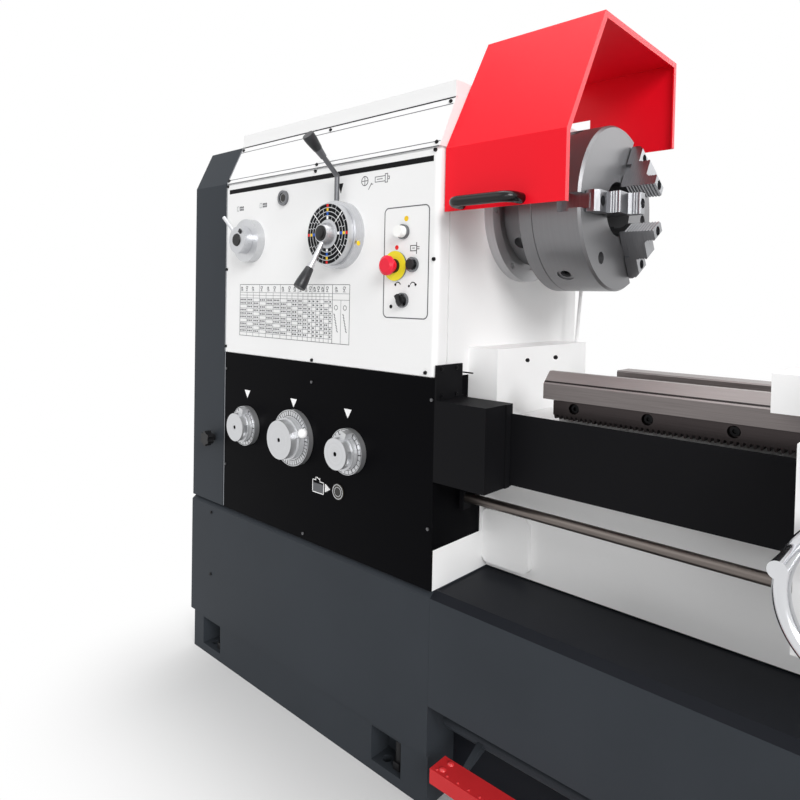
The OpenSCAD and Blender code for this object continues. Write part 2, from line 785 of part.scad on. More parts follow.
module cover_knob() {
  color(panel_black) translate([latch_at[0], front_y, latch_at[1]]) rotate([90, 0, 0]) {
    translate([0, 0, -20]) cylinder(h = 24, d = 12);
    translate([0, 0, seat_gap]) cylinder(h = 14, d = 18);
    translate([0, 0, 12]) difference() {
      cylinder(h = 18, d = 40);
      for (a = [0 : 60 : 300]) rotate(a) translate([24, 0, -1]) cylinder(h = 20, d = 16);
    }
  }
}

// ---------------------------------------------------------------- spindle and chuck

nose_x0 = face_x + cover_t + 4;

module spindle() {
  color(bright_steel) difference() {
    union() {
      bar_x(head_x0 - 60, face_x - 10, 0, spindle_z, rear_d);
      bar_x(face_x - head_wall, nose_x0, 0, spindle_z, journal_d);
      bar_x(nose_x0, chuck_x0, 0, spindle_z, nose_d);
      bar_x(face_x - 360, face_x - 300, 0, spindle_z, 220);
    }
    bar_x(head_x0 - 61, chuck_x0 + 1, 0, spindle_z, spindle_bore);
    for (a = [8 : 60 : 308])
      translate([0, 0, spindle_z]) rotate([a, 0, 0]) translate([nose_x0 + 26, 0, nose_d / 2 - 16])
        cylinder(h = 20, d = 26);
  }
}

jaw_slot_w = jaw_w - 12;
jaw_back_x = chuck_x1 - 46;
jaw_len = 100;
// Steps of a top jaw: height above its foot and the radius where each begins
step_h = [24, 47, 69];
step_r = [jaw_r + 104, jaw_r + 63, jaw_r + 23];
pinion_x = chuck_x0 + 69;

// Runs its children once per jaw, turned about the spindle axis so that +Z points out along the jaw
module at_jaw(i) {
  translate([0, 0, spindle_z]) rotate([90 + 120 * i, 0, 0]) children();
}

module chuck_body() {
  r = chuck_d / 2;
  color(bright_steel) difference() {
    translate([chuck_x0, 0, spindle_z]) rotate([0, 90, 0]) rotate_extrude() polygon([
      [spindle_bore / 2 + 2, 0], [r - 2, 0], [r, 2], [r, backplate_t - 1], [r - 1.5, backplate_t],
      [r, backplate_t + 1], [r, backplate_t + chuck_l - 5], [r - 4, backplate_t + chuck_l],
      [spindle_bore / 2 + 2, backplate_t + chuck_l]
    ]);
    // Guideways of the jaws: a narrow slot at the face and a wider one below it
    for (i = [0 : 2])
      at_jaw(i) {
        block([jaw_back_x, chuck_x1 + 1], [-jaw_slot_w / 2, jaw_slot_w / 2], [0, r + 1]);
        block([jaw_back_x, jaw_back_x + 22], [-jaw_w / 2, jaw_w / 2], [0, r + 1]);
      }
    // Sockets for the chuck key
    for (i = [0 : 2])
      translate([0, 0, spindle_z]) rotate([145 + 120 * i, 0, 0])
        translate([pinion_x, 0, r - 30]) {
          cylinder(h = 31, d = 21);
          translate([0, 0, 27]) cylinder(h = 5, d = 33);
        }
    // Recessed screws in the face
    for (a = [235, 355])
      translate([chuck_x1 - 14, 124 * cos(a), spindle_z + 124 * sin(a)]) rotate([0, 90, 0]) cylinder(h = 15, d = 24);
  }
}

jaw_gap = 0.1;
top_x0 = chuck_x1 + 2;

// A two-piece jaw: a base jaw guided in the chuck and a stepped, serrated top jaw screwed onto it
module jaw(i) {
  base_r0 = jaw_r + 6;
  base_r1 = base_r0 + jaw_len;
  half = jaw_w / 2;
  color(bright_steel) at_jaw(i) difference() {
    union() {
      block([jaw_back_x + jaw_gap, jaw_back_x + 22 - jaw_gap], [-half + jaw_gap, half - jaw_gap], [base_r0, base_r1]);
      block([jaw_back_x + jaw_gap, chuck_x1 + 10],
        [-jaw_slot_w / 2 + jaw_gap, jaw_slot_w / 2 - jaw_gap], [base_r0, base_r1]);
      // The top jaw in profile, with a bevel at its outer end
      rotate([90, 0, 0]) translate([0, 0, -half]) linear_extrude(height = jaw_w) polygon([
        [top_x0, jaw_r], [top_x0 + step_h[2] - 3, jaw_r], [top_x0 + step_h[2], jaw_r + 3],
        [top_x0 + step_h[2], step_r[2] - 2], [top_x0 + step_h[2] - 2, step_r[2]], [top_x0 + step_h[1] + 5, step_r[2]],
        [top_x0 + step_h[1], step_r[2] + 4], [top_x0 + step_h[1], step_r[1] - 2], [top_x0 + step_h[1] - 2, step_r[1]],
        [top_x0 + step_h[0], step_r[1]], [top_x0 + step_h[0], step_r[0] - 8], [top_x0 + step_h[0] - 8, step_r[0]],
        [top_x0, step_r[0]]
      ]);
    }
    // Key slot between the base jaw and the top jaw
    for (side = [-1, 1])
      block([top_x0 - 1, top_x0 + 10], [side * (half + 1), side * jaw_slot_w / 2], [jaw_r + 32, jaw_r + 58]);
    // Serrations across the tip and along the gripping steps
    for (k = [0 : 8])
      translate([top_x0 + 14 + k * 6, 0, jaw_r]) rotate([90, 0, 0])
        cylinder(h = jaw_w + 2, d = 4.4, center = true, $fn = 4);
    for (n = [1, 2], k = [0 : 2])
      translate([top_x0 + step_h[n] - 16 + k * 5, 0, step_r[n]]) rotate([90, 0, 0])
        cylinder(h = jaw_w + 2, d = 4.4, center = true, $fn = 4);
    // Screws that hold the top jaw
    translate([top_x0 + step_h[2] - 14, 0, jaw_r + 12]) rotate([0, 90, 0]) cylinder(h = 15, d = 19);
    translate([top_x0 + step_h[0] - 14, 0, jaw_r + 84]) rotate([0, 90, 0]) cylinder(h = 15, d = 19);
  }
}

module jaw_1() { jaw(0); }
module jaw_2() { jaw(1); }
module jaw_3() { jaw(2); }

// ---------------------------------------------------------------- chuck guard

guard_x0 = face_x + 3;
guard_x1 = guard_x0 + guard_w;
guard_fold_z = spindle_z + 102;
guard_low_z = spindle_z - 19;
ridge_y = -148;
rear_y = 204;
notch_w = 56;
lug_t = 12;

module chuck_guard() {
  t = guard_t;
  top = spindle_z + guard_top;
  color(guard_red) {
    difference() {
      along_x(guard_x0, guard_x1, [
        [-guard_front, guard_low_z], [-guard_front, guard_fold_z], [ridge_y, top], [rear_y, top],
        [rear_y, spindle_z + 153], [rear_y - t, spindle_z + 153], [rear_y - t, top - t],
        [ridge_y + t * 0.6, top - t], [-guard_front + t, guard_fold_z - t * 0.3],
        [-guard_front + t, guard_low_z]
      ]);
      block([guard_x0 - 1, guard_x0 + notch_w], [rear_y - t - 1, rear_y + 1],
        [spindle_z + 150, spindle_z + 249]);
    }
    // Return flange round the open right-hand end
    along_x(guard_x1 - t, guard_x1, [
      [-guard_front, guard_low_z], [-guard_front, guard_fold_z], [ridge_y, top], [rear_y, top],
      [rear_y, spindle_z + 153], [rear_y - 12, spindle_z + 153], [rear_y - 12, top - 12],
      [ridge_y + 7, top - 12], [-guard_front + 12, guard_fold_z - 3], [-guard_front + 12, guard_low_z]
    ]);
    // Lugs round the hinge bar
    for (x = [guard_x0 + notch_w + 12, guard_x1 - 40])
      difference() {
        union() {
          bar_x(x, x + lug_t, hinge_y, hinge_z, hinge_d + 24);
          block([x, x + lug_t], [rear_y - 1, hinge_y], [hinge_z - 20, hinge_z + 60]);
        }
        bar_x(x - 1, x + lug_t + 1, hinge_y, hinge_z, hinge_d + 2 * run_gap);
      }
  }
}

handle_x = [guard_x0 + 41, guard_x0 + 169];
handle_z = spindle_z - 8;
handle_d = 20;
handle_out = 36;
handle_bend = 20;

// Bow handle: a round bar bent into two legs that stand on the guard's front
module guard_handle() {
  y = -guard_front - handle_out;
  r = handle_bend;
  color(panel_black) {
    bar_x(handle_x[0] + r, handle_x[1] - r, y, handle_z, handle_d);
    for (side = [0, 1]) {
      bar_y(y + r, -guard_front, handle_x[side], handle_z, handle_d);
      translate([handle_x[side] + (side == 0 ? r : -r), y + r, handle_z])
        rotate([0, 0, side == 0 ? 180 : 270]) rotate_extrude(angle = 90) translate([r, 0]) circle(d = handle_d);
    }
  }
}

// ---------------------------------------------------------------- levers, selectors and buttons

module thread_lever() {
  y1 = front_y - lever_base_h - seat_gap;
  color(bright_steel) translate([lever_at[0], 0, lever_at[1]]) {
    bar_y(y1 - 24, y1, 0, 0, 66);
    bar_y(y1, front_y - 1, 0, 0, knob_shaft_d);
    translate([0, y1 - 14, 0]) rotate([0, -40, 0]) rotate([12, 0, 0]) cylinder(h = 78, d = 9);
  }
}

module lever_stick(points, d, grip) {
  n = len(points);
  for (i = [0 : n - 2]) {
    v = points[i + 1] - points[i];
    l = norm(v);
    translate(points[i]) rotate([0, acos(v[2] / l), atan2(v[1], v[0])]) {
      cylinder(h = l, d = d);
      if (i == n - 2) translate([0, 0, l - grip]) cylinder(h = grip, d1 = d * 1.3, d2 = d * 2.1);
    }
    translate(points[i + 1]) sphere(d = i == n - 2 ? d * 2.3 : d * 1.12);
  }
}

lever_d = 11;

module range_lever() {
  y0 = front_y - 4 - seat_gap;
  y1 = y0 - collar_h + 2 * seat_gap;
  c = [dial_at[0], (y0 + y1) / 2, dial_at[1]];
  color(bright_steel) {
    difference() {
      bar_y(y1, y0, dial_at[0], dial_at[1], dial_d);
      bar_y(y1 - 1, y0 + 1, dial_at[0], dial_at[1], core_d + 2 * run_gap);
    }
    lever_stick([c + [0, 0, dial_d / 2 - 3], c + [0, 0, 128], c + [0, -74, 192]], lever_d, 46);
  }
}

module speed_lever() {
  y0 = front_y - dial_h - seat_gap;
  c = [dial_at[0], y0 - 10, dial_at[1] - 12];
  color(bright_steel) {
    translate([dial_at[0], y0, dial_at[1]]) rotate([90, 0, 0]) {
      cylinder(h = 19, d1 = 50, d2 = 38);
      translate([0, 0, 19]) cylinder(h = 4, d = 20);
      translate([0, 0, -dial_h + 2]) cylinder(h = dial_h, d = knob_shaft_d);
    }
    lever_stick([c, c + [-6, -20, -44], c + [-12, -48, -94]], lever_d, 46);
  }
}

lug_turn = [-20, -70, -20];
ball_d = 22;

// A round feed selector: plain face with a blind hole, pointer lug, finger recesses and shaft;
// the middle one carries a ball on its lug
module feed_knob(i) {
  d = knob_d[i];
  h = knob_h[i];
  y0 = front_y - ring_h - seat_gap;
  color(bright_steel) translate([knob_x[i], y0, knob_z]) rotate([90, 0, 0]) {
    difference() {
      union() {
        cylinder(h = h * 0.4, d = d + 8);
        cylinder(h = h, d = d);
        rotate(lug_turn[i]) translate([-7, 0, 0]) cube([14, d / 2 + 16, h * 0.7]);
        translate([0, 0, -ring_h - 38]) cylinder(h = ring_h + 40, d = knob_shaft_d);
      }
      translate([0, 0, h - 6]) cylinder(h = 7, d = 10);
      if (i != 1)
        for (a = [-12, 168])
          rotate(a) translate([d / 2 + 4, 0, h * 0.4 + 1]) cylinder(h = h * 0.6 - 6, d = d * 0.5);
    }
    if (i == 1) rotate(lug_turn[i]) translate([0, d / 2 + 17, ball_d / 2 + 0.5]) sphere(d = ball_d);
  }
}

module knob_left() { feed_knob(0); }
module knob_middle() { feed_knob(1); }
module knob_right() { feed_knob(2); }

press = 6;

module estop_button() {
  color(guard_red) translate([estop_at[0], front_y, estop_at[1]]) rotate([90, 0, 0]) {
    translate([0, 0, -6]) cylinder(h = 30, d = stem_d);
    translate([0, 0, 4 + press + 2]) cylinder(h = 7, d = 26);
    translate([0, 0, 18]) cylinder(h = 6, d1 = 30, d2 = 40);
    translate([0, 0, 24]) cylinder(h = 5, d = 40);
    translate([0, 0, 29]) cylinder(h = 5, d1 = 40, d2 = 28);
  }
}

module push_button() {
  color(panel_black) bar_y(front_y - 11, front_y + 6, push_at[0], push_at[1], stem_d);
}

module selector() {
  color(panel_black) {
    bar_y(front_y - 12, front_y + 6, selector_at[0], selector_at[1], stem_d);
    translate([selector_at[0], 0, selector_at[1]]) rotate([0, -30, 0])
      block([-4, 4], [front_y - 17, front_y - 9], [-12, 12]);
  }
}

// ---------------------------------------------------------------- roll cover, rods and brake

shell_x = [face_x, face_x + 119];
shell_y = [front_y, front_y + 90];
shell_z = [split_z - 201, split_z - 43];
shell_t = 2.5;
sheet_z = [shell_z[0] + 4, shell_z[1] - 18];
sheet_y = shell_y[1] - 8;
roll_d = 64;
roll_x = (shell_x[0] + shell_x[1]) / 2;

// Black housing of the roll-up cover, with the plate that fixes it to the headstock
module cover_box() {
  t = shell_t;
  color(panel_black) {
    difference() {
      block(shell_x, shell_y, shell_z);
      block([shell_x[0] + t, shell_x[1] - t], [shell_y[0] + t, shell_y[1] - t], [shell_z[0] + t, shell_z[1] - t]);
      block([shell_x[1] - t - 1, shell_x[1] + 1], [sheet_y - 3, sheet_y + 4], [sheet_z[0] - 1, sheet_z[1] + 1]);
    }
    block([shell_x[1], shell_x[1] + 3], [shell_y[1] - 26, sheet_y - 3], shell_z);
    translate([roll_x, sheet_y - seat_gap - roll_d / 2, shell_z[0] + shell_t - 1])
      cylinder(h = shell_z[1] - shell_z[0] - 2 * shell_t + 2, d = roll_d);
    block([face_x, face_x + 3], [front_y, front_y + 84], [shell_z[1] + 4, shell_z[1] + 68]);
    block([face_x, face_x + 3], [front_y, front_y + 90], [shell_z[1], shell_z[1] + 4]);
    // Stop pin of the sheet, bush of the switch rod and a foot on the bed's pad
    bar_x(face_x + 2, face_x + 30, front_y + 82, shell_z[1] + 50, 3);
    difference() {
      block([face_x, face_x + 10], [switch_y - 13, switch_y + 13], [switch_z - 24, switch_z + 14]);
      bar_x(face_x - 1, face_x + 11, switch_y, switch_z, control_rod_d + 2 * run_gap);
    }
    block([face_x, face_x + 24], [-foot_y - 16, -wall_at(stand_h + 133) - seat_gap], [stand_h + 128 + seat_gap, stand_h + 133]);
  }
}

apron_x0 = face_x + carriage_gap;

// Free length of the roll-up cover, from the roll in the housing to the apron
module curtain() {
  color(panel_black) block([roll_x, apron_x0], [sheet_y, sheet_y + 1.5], sheet_z);
}

rod_x1 = bed_x1 - 4;

module leadscrew() {
  color(bright_steel) {
    bar_x(face_x - 58, rod_x1, screw_y, screw_z, leadscrew_d - 10);
    bar_x(face_x + 20, bed_x1 - hanger_l - 2, screw_y, screw_z, leadscrew_d);
  }
}

module feed_rod() {
  color(ground_steel) bar_x(face_x - 58, rod_x1, screw_y, feed_z, feed_rod_d);
}

module control_rod() {
  color(ground_steel) bar_x(face_x - 58, rod_x1, switch_y, switch_z, control_rod_d);
}

brake_y = kick_y - 26;
brake_z = 150;
brake_top = 130;
brake_w = 46;
brake_y1 = stand_y + 1;
brake_x = [face_x + 45, end_x0 - 45];
arm_n = ceil((brake_x[1] - brake_x[0]) / 900);
arm_step = (brake_x[1] - brake_x[0] - 100) / arm_n;

// Foot brake: a tread along the stand on arms that hang from a bar in front of the kick panel
module foot_brake() {
  color(guard_red) {
    block(brake_x, [brake_y1 - brake_w, brake_y1], [brake_top - 5, brake_top]);
    block(brake_x, [brake_y1 - brake_w, brake_y1 - brake_w + 5], [brake_top - 28, brake_top]);
    bar_x(face_x + seat_gap, end_x0 - seat_gap, brake_y, brake_z, 22);
    for (i = [0 : arm_n])
      along_x(brake_x[0] + 40 + i * arm_step, brake_x[0] + 52 + i * arm_step, [
        [brake_y1 - brake_w + 4, brake_top - 22], [brake_y1 - brake_w + 4, brake_top - 4],
        [brake_y1, brake_top - 4], [brake_y, brake_z + 8], [brake_y, brake_z - 12]
      ]);
  }
}

// ---------------------------------------------------------------- carriage

carriage_x = apron_x0 + apron_l / 2;
saddle_x = [carriage_x - saddle_l / 2, carriage_x + saddle_l / 2];
bridge_w = 260;
bridge_x = [carriage_x - bridge_w / 2 - 30, carriage_x + bridge_w / 2 - 30];
slide_x = (bridge_x[0] + bridge_x[1]) / 2;
bridge_top = way_z + 84;
cross_top = bridge_top + 55;
swivel_top = cross_top + 34;
post_z = spindle_z - tool_h - 68;
lip_w = 46;
front_lip = -half_w - lip_w;
apron_top = way_z - 22;

module saddle() {
  g = seat_gap;
  color(paint_white) difference() {
    union() {
      // Front wing with the lip that carries the apron, rear wing and bridge
      block(saddle_x, [front_lip, -half_w + 90], [way_z + g, way_z + 56]);
      block([apron_x0, apron_x0 + apron_l], [front_lip, -half_w - g], [apron_top, way_z + 56]);
      block(saddle_x, [half_w - 70, half_w + 34], [way_z + g, way_z + 50]);
      block(bridge_x, [front_lip - 60, half_w + 34], [way_z + 30, bridge_top]);
    }
    // Groove over the V guideway
    along_x(saddle_x[0] - 1, saddle_x[1] + 1, [
      [front_vee_y - outer_half - 2 * g, way_z], [front_vee_y - outer_half - 2 * g, way_z + 2 * g],
      [front_vee_y - outer_half + vee_h - g, way_z + vee_h + g * 1.6],
      [front_vee_y + outer_half - vee_h + g, way_z + vee_h + g * 1.6],
      [front_vee_y + outer_half + 2 * g, way_z + 2 * g], [front_vee_y + outer_half + 2 * g, way_z]
    ]);
    // Bore of the cross screw
    bar_y(front_lip - 61, 0, slide_x, bridge_top - 30, 22 + 2 * run_gap);
  }
}

apron_y = [stand_y - 26, -foot_y - 42];
pinion_at = [apron_x0 + 96, way_z - 200];
nut_at = [apron_x0 + 250, way_z - 190];

module apron() {
  color(paint_white) difference() {
    union() {
      block([apron_x0, apron_x0 + apron_l], apron_y, [switch_z - 40, rack_z0 - 8]);
      block([apron_x0, apron_x0 + apron_l], [apron_y[0], -half_w - lip_w / 2], [rack_z0 - 9, apron_top - seat_gap]);
    }
    bar_x(apron_x0 - 1, apron_x0 + apron_l + 1, screw_y, screw_z, leadscrew_d + 1);
    bar_x(apron_x0 - 1, apron_x0 + apron_l + 1, screw_y, feed_z, feed_rod_d + 1);
    bar_x(apron_x0 - 1, apron_x0 + apron_l + 1, switch_y, switch_z, control_rod_d + 1);
    bar_y(apron_y[0] - 1, apron_y[0] + 40, pinion_at[0], pinion_at[1], 26 + 2 * run_gap);
    bar_y(apron_y[0] - 1, apron_y[0] + 40, nut_at[0], nut_at[1], 20 + 2 * run_gap);
  }
}

// A handwheel in the X-Z plane, its hub at the origin and its face towards -Y
module handwheel(d, hub, rim, grip) {
  rotate([90, 0, 0]) {
    cylinder(h = 34, d = hub);
    translate([0, 0, 20]) rotate_extrude() translate([d / 2 - rim / 2, 0]) circle(d = rim, $fn = 24);
    for (a = [30, 150, 270])
      rotate(a) translate([hub / 2 - 4, 0, 18]) rotate([0, 90, 0]) cylinder(h = d / 2 - hub / 2 - rim / 2 + 2, d = 14);
    rotate(150) translate([d / 2 - rim / 2, 0, 22]) cylinder(h = grip, d1 = 16, d2 = 22);
  }
}

module apron_wheel() {
  color(bright_steel) {
    translate([pinion_at[0], apron_y[0] - seat_gap, pinion_at[1]]) handwheel(wheel_d, 60, 22, 90);
    bar_y(apron_y[0] - 2, apron_y[0] + 38, pinion_at[0], pinion_at[1], 26);
  }
}

module half_nut_lever() {
  color(bright_steel) {
    bar_y(apron_y[0] - 30, apron_y[0] - seat_gap, nut_at[0], nut_at[1], 44);
    bar_y(apron_y[0] - 1, apron_y[0] + 38, nut_at[0], nut_at[1], 20);
    lever_stick([[nut_at[0], apron_y[0] - 18, nut_at[1] + 10], [nut_at[0], apron_y[0] - 40, nut_at[1] + 120]], 11, 44);
  }
}

start_x = apron_x0 + apron_l;

// Start lever: its sleeve rides on the control rod beside the apron
module start_lever() {
  color(bright_steel) {
    difference() {
      bar_x(start_x + seat_gap, start_x + 50, switch_y, switch_z, 40);
      bar_x(start_x, start_x + 51, switch_y, switch_z, control_rod_d + 2 * run_gap);
    }
    lever_stick([[start_x + 30, switch_y - 14, switch_z], [start_x + 60, apron_y[0] - 20, switch_z + 4],
      [start_x + 60, apron_y[0] - 90, switch_z + 30]], 12, 60);
  }
}

cross_y = [-half_w - 90, half_w + 40];
// The crank turns clear of the cross slide at the front end of its travel
crank_y = cross_y[0] - 100;

module cross_slide() {
  color(ground_steel) difference() {
    block([slide_x - cross_w / 2, slide_x + cross_w / 2], cross_y, [bridge_top + seat_gap, cross_top]);
    // T slots for clamping work at the rear
    for (dx = [-50, 50]) {
      block([slide_x + dx - 7, slide_x + dx + 7], [120, cross_y[1] + 1], [cross_top - 30, cross_top + 1]);
      block([slide_x + dx - 13, slide_x + dx + 13], [120, cross_y[1] + 1], [cross_top - 30, cross_top - 18]);
    }
  }
}

module cross_crank() {
  z = bridge_top - 30;
  y = front_lip - 60 - seat_gap;
  color(bright_steel) {
    bar_y(crank_y + 6, y, slide_x, z, 58);
    bar_y(crank_y - 8, -2, slide_x, z, 22);
    lever_stick([[slide_x - 70, crank_y, z], [slide_x + 78, crank_y, z]], 14, 1);
    bar_y(crank_y - 78, crank_y, slide_x + 78, z, 20);
    translate([slide_x - 70, crank_y, z]) sphere(d = 32);
  }
}

tool_y = -46;

module compound_base() {
  color(ground_steel)
    translate([slide_x, tool_y, cross_top + seat_gap]) cylinder(h = swivel_top - cross_top - seat_gap, d = cross_w);
}

module top_slide() {
  z0 = swivel_top + seat_gap;
  color(ground_steel) {
    block([slide_x - 58, slide_x + 58], [tool_y - 150, tool_y + 110], [z0, post_z - seat_gap]);
    // Screw end with its ball crank
    bar_y(tool_y - 196, tool_y - 150, slide_x, (z0 + post_z) / 2, 46);
    bar_y(tool_y - 214, tool_y - 196, slide_x, (z0 + post_z) / 2, 20);
    lever_stick([[slide_x - 48, tool_y - 214, (z0 + post_z) / 2], [slide_x + 52, tool_y - 214, (z0 + post_z) / 2]], 12, 1);
    bar_y(tool_y - 270, tool_y - 214, slide_x + 52, (z0 + post_z) / 2, 17);
    // Stud of the toolpost
    translate([slide_x, tool_y, post_z - 10]) cylinder(h = 200, d = 24);
  }
}

post_h = 150;

// Square toolpost, open on all four sides for the tool shanks
module toolpost() {
  h = post_w / 2;
  color(ground_steel) difference() {
    translate([slide_x - h, tool_y - h, post_z]) cube([post_w, post_w, post_h]);
    translate([slide_x, tool_y, post_z - 1]) cylinder(h = post_h + 2, d = 24 + 2 * run_gap);
    for (a = [0 : 90 : 270])
      translate([slide_x, tool_y, 0]) rotate(a)
        block([h - 40, h + 1], [-h - 1, h + 1], [spindle_z - tool_h, spindle_z + 10]);
  }
}

module toolpost_lever() {
  z = post_z + post_h + seat_gap;
  color(bright_steel) difference() {
    union() {
      translate([slide_x, tool_y, z]) cylinder(h = 44, d1 = 70, d2 = 40);
      lever_stick([[slide_x, tool_y - 14, z + 30], [slide_x + 40, tool_y - 130, z + 74]], 15, 50);
    }
    translate([slide_x, tool_y, z - 1]) cylinder(h = 60, d = 24 + 2 * run_gap);
  }
}

// ---------------------------------------------------------------- tailstock

tail_base_h = 90;

module tailstock() {
  g = seat_gap;
  color(paint_white) difference() {
    union() {
      block([tail_x0, tail_x1], [-flat_in + 4, flat_in - 4], [inner_z + g, way_z + tail_base_h]);
      along_x(tail_x0 + 30, tail_x1 - 20, [
        [-110, way_z + tail_base_h], [110, way_z + tail_base_h], [78, way_z + tail_base_h + 80],
        [70, spindle_z], [-70, spindle_z], [-78, way_z + tail_base_h + 80]
      ]);
      bar_x(tail_x0, tail_x1, 0, spindle_z, 170);
      // Clamp that draws the tailstock down onto the bed
      block([tail_x0 + 120, tail_x0 + 280], [-flange_in + 6, flange_in - 6], [inner_z - way_t - 34, inner_z + g + 1]);
      block([tail_x0 + 120, tail_x0 + 280], [-flange_in - 20, flange_in + 20], [inner_z - way_t - 34, inner_z - way_t - 6]);
    }
    along_x(tail_x0 - 1, tail_x1 + 1, [
      [inner_vee_y - inner_half - 2 * g, inner_z], [inner_vee_y - inner_half - 2 * g, inner_z + 2 * g],
      [inner_vee_y - inner_half + vee_h - g, inner_z + vee_h + g * 1.6],
      [inner_vee_y + inner_half - vee_h + g, inner_z + vee_h + g * 1.6],
      [inner_vee_y + inner_half + 2 * g, inner_z + 2 * g], [inner_vee_y + inner_half + 2 * g, inner_z]
    ]);
    bar_x(tail_x0 - 1, tail_x1 - 30, 0, spindle_z, quill_d + 2 * run_gap);
    bar_x(tail_x1 - 31, tail_x1 + 1, 0, spindle_z, 34 + 2 * run_gap);
  }
}

module quill() {
  color(bright_steel) {
    bar_x(tail_x0 - quill_out + 80, tail_x1 - 80, 0, spindle_z, quill_d);
    translate([tail_x0 - quill_out, 0, spindle_z]) rotate([0, 90, 0]) cylinder(h = 30, d1 = 0.5, d2 = 44);
    bar_x(tail_x0 - quill_out + 30, tail_x0 - quill_out + 81, 0, spindle_z, 50);
  }
}

module tail_wheel() {
  color(bright_steel) {
    translate([tail_x1 + seat_gap, 0, spindle_z]) rotate([0, 0, 90]) handwheel(wheel_d, 70, 22, 80);
    bar_x(tail_x1 - 78, tail_x1 + 2, 0, spindle_z, 34);
  }
}

head_pedestal();
bed_pedestals();
chip_tray();
levelling_bolts();
bed();
rack();
headstock();
headstock_lid();
front_panels();
feed_gearbox();
bearing_cover();
gap_block();
cabinet();
control_rings();
bezels();
lenses();
cover_box();
motor();
v_belts();
spindle();
chuck_body();
jaw_1();
jaw_2();
jaw_3();
drive_pulley();
motor_pulley();
gear_driver();
gear_driven();
chuck_guard();
guard_handle();
thread_lever();
range_lever();
speed_lever();
knob_left();
knob_middle();
knob_right();
estop_button();
push_button();
selector();
end_cover();
cover_knob();
leadscrew();
feed_rod();
control_rod();
foot_brake();
curtain();
saddle();
apron();
cross_slide();
compound_base();
top_slide();
toolpost();
toolpost_lever();
apron_wheel();
cross_crank();
half_nut_lever();
start_lever();
tailstock();
quill();
tail_wheel();
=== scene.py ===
import bpy
import bmesh
import math
from mathutils import Matrix, Vector


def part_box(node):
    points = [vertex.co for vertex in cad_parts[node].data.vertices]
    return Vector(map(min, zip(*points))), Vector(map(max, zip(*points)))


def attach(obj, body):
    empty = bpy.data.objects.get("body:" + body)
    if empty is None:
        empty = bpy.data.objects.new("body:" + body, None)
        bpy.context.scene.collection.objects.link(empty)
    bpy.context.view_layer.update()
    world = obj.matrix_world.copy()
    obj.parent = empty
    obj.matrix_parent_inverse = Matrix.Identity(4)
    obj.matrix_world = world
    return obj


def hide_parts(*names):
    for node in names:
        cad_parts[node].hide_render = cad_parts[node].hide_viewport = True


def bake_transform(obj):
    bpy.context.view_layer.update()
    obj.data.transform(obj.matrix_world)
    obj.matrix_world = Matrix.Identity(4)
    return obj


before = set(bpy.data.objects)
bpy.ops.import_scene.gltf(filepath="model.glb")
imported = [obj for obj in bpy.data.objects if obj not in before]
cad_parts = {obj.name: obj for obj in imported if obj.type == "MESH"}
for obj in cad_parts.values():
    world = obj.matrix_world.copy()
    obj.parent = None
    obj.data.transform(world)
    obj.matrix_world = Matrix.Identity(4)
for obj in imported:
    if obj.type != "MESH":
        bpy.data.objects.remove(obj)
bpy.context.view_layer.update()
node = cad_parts

# ------------------------ studio
# A white floor without an edge, soft lamps on the operator's side and one camera
# at the operator's eye line, in front of the chuck and looking towards the controls.


def mm(*values):
    """A point given in millimetres, as metres."""
    return Vector(values) * 0.001


def work_out(tree, operation, first, second):
    """The output of a node that works out one value from two others."""
    made = tree.nodes.new("ShaderNodeMath")
    made.operation = operation
    tree.links.new(first, made.inputs[0])
    tree.links.new(second, made.inputs[1])
    return made.outputs[0]


def mix_shaders(tree, amount, first, second, end):
    """Mixes two shaders by an amount and sends the result to an output node."""
    mix = tree.nodes.new("ShaderNodeMixShader")
    for socket, value in zip(mix.inputs, (amount, first, second)):
        tree.links.new(value, socket)
    tree.links.new(mix.outputs[0], tree.nodes[end].inputs["Surface"])


floor_bm = bmesh.new()
bmesh.ops.create_grid(floor_bm, x_segments=1, y_segments=1, size=14.0)
floor_mesh = bpy.data.meshes.new("floor")
floor_bm.to_mesh(floor_mesh)
floor_bm.free()
floor = bpy.data.objects.new("floor", floor_mesh)
bpy.context.scene.collection.objects.link(floor)
floor_mat = bpy.data.materials.new("studio_floor")
floor_mat.use_nodes = True
tree = floor_mat.node_tree
shade = tree.nodes["Principled BSDF"]
shade.inputs["Base Color"].default_value = (0.82, 0.82, 0.82, 1)
shade.inputs["Roughness"].default_value = 0.9
shade.inputs["Specular IOR Level"].default_value = 0.1
# The floor turns to plain white away from the machine, and keeps its shadow close by.
glow = tree.nodes.new("ShaderNodeEmission")
glow.inputs["Strength"].default_value = 1.0
place = tree.nodes.new("ShaderNodeTexCoord")
chain = place.outputs["Object"]
machine_middle = (2.1, 0.0, 0.0)
machine_half = (2.7, 0.35, 0.0)
for operation, value in (
    ("SUBTRACT", machine_middle),
    ("ABSOLUTE", None),
    ("SUBTRACT", machine_half),
    ("MAXIMUM", (0, 0, 0)),
):
    step = tree.nodes.new("ShaderNodeVectorMath")
    step.operation = operation
    tree.links.new(chain, step.inputs[0])
    if value:
        step.inputs[1].default_value = value
    chain = step.outputs["Vector"]
far = tree.nodes.new("ShaderNodeVectorMath")
far.operation = "LENGTH"
away = tree.nodes.new("ShaderNodeMapRange")
away.interpolation_type = "SMOOTHSTEP"
away.inputs["From Min"].default_value = 0.0
away.inputs["From Max"].default_value = 0.5  # metres over which the shadow fades into white
tree.links.new(chain, far.inputs[0])
tree.links.new(far.outputs["Value"], away.inputs["Value"])
path = tree.nodes.new("ShaderNodeLightPath")
seen = work_out(tree, "MAXIMUM", path.outputs["Is Camera Ray"], path.outputs["Is Glossy Ray"])
white = work_out(tree, "MULTIPLY", seen, away.outputs["Result"])
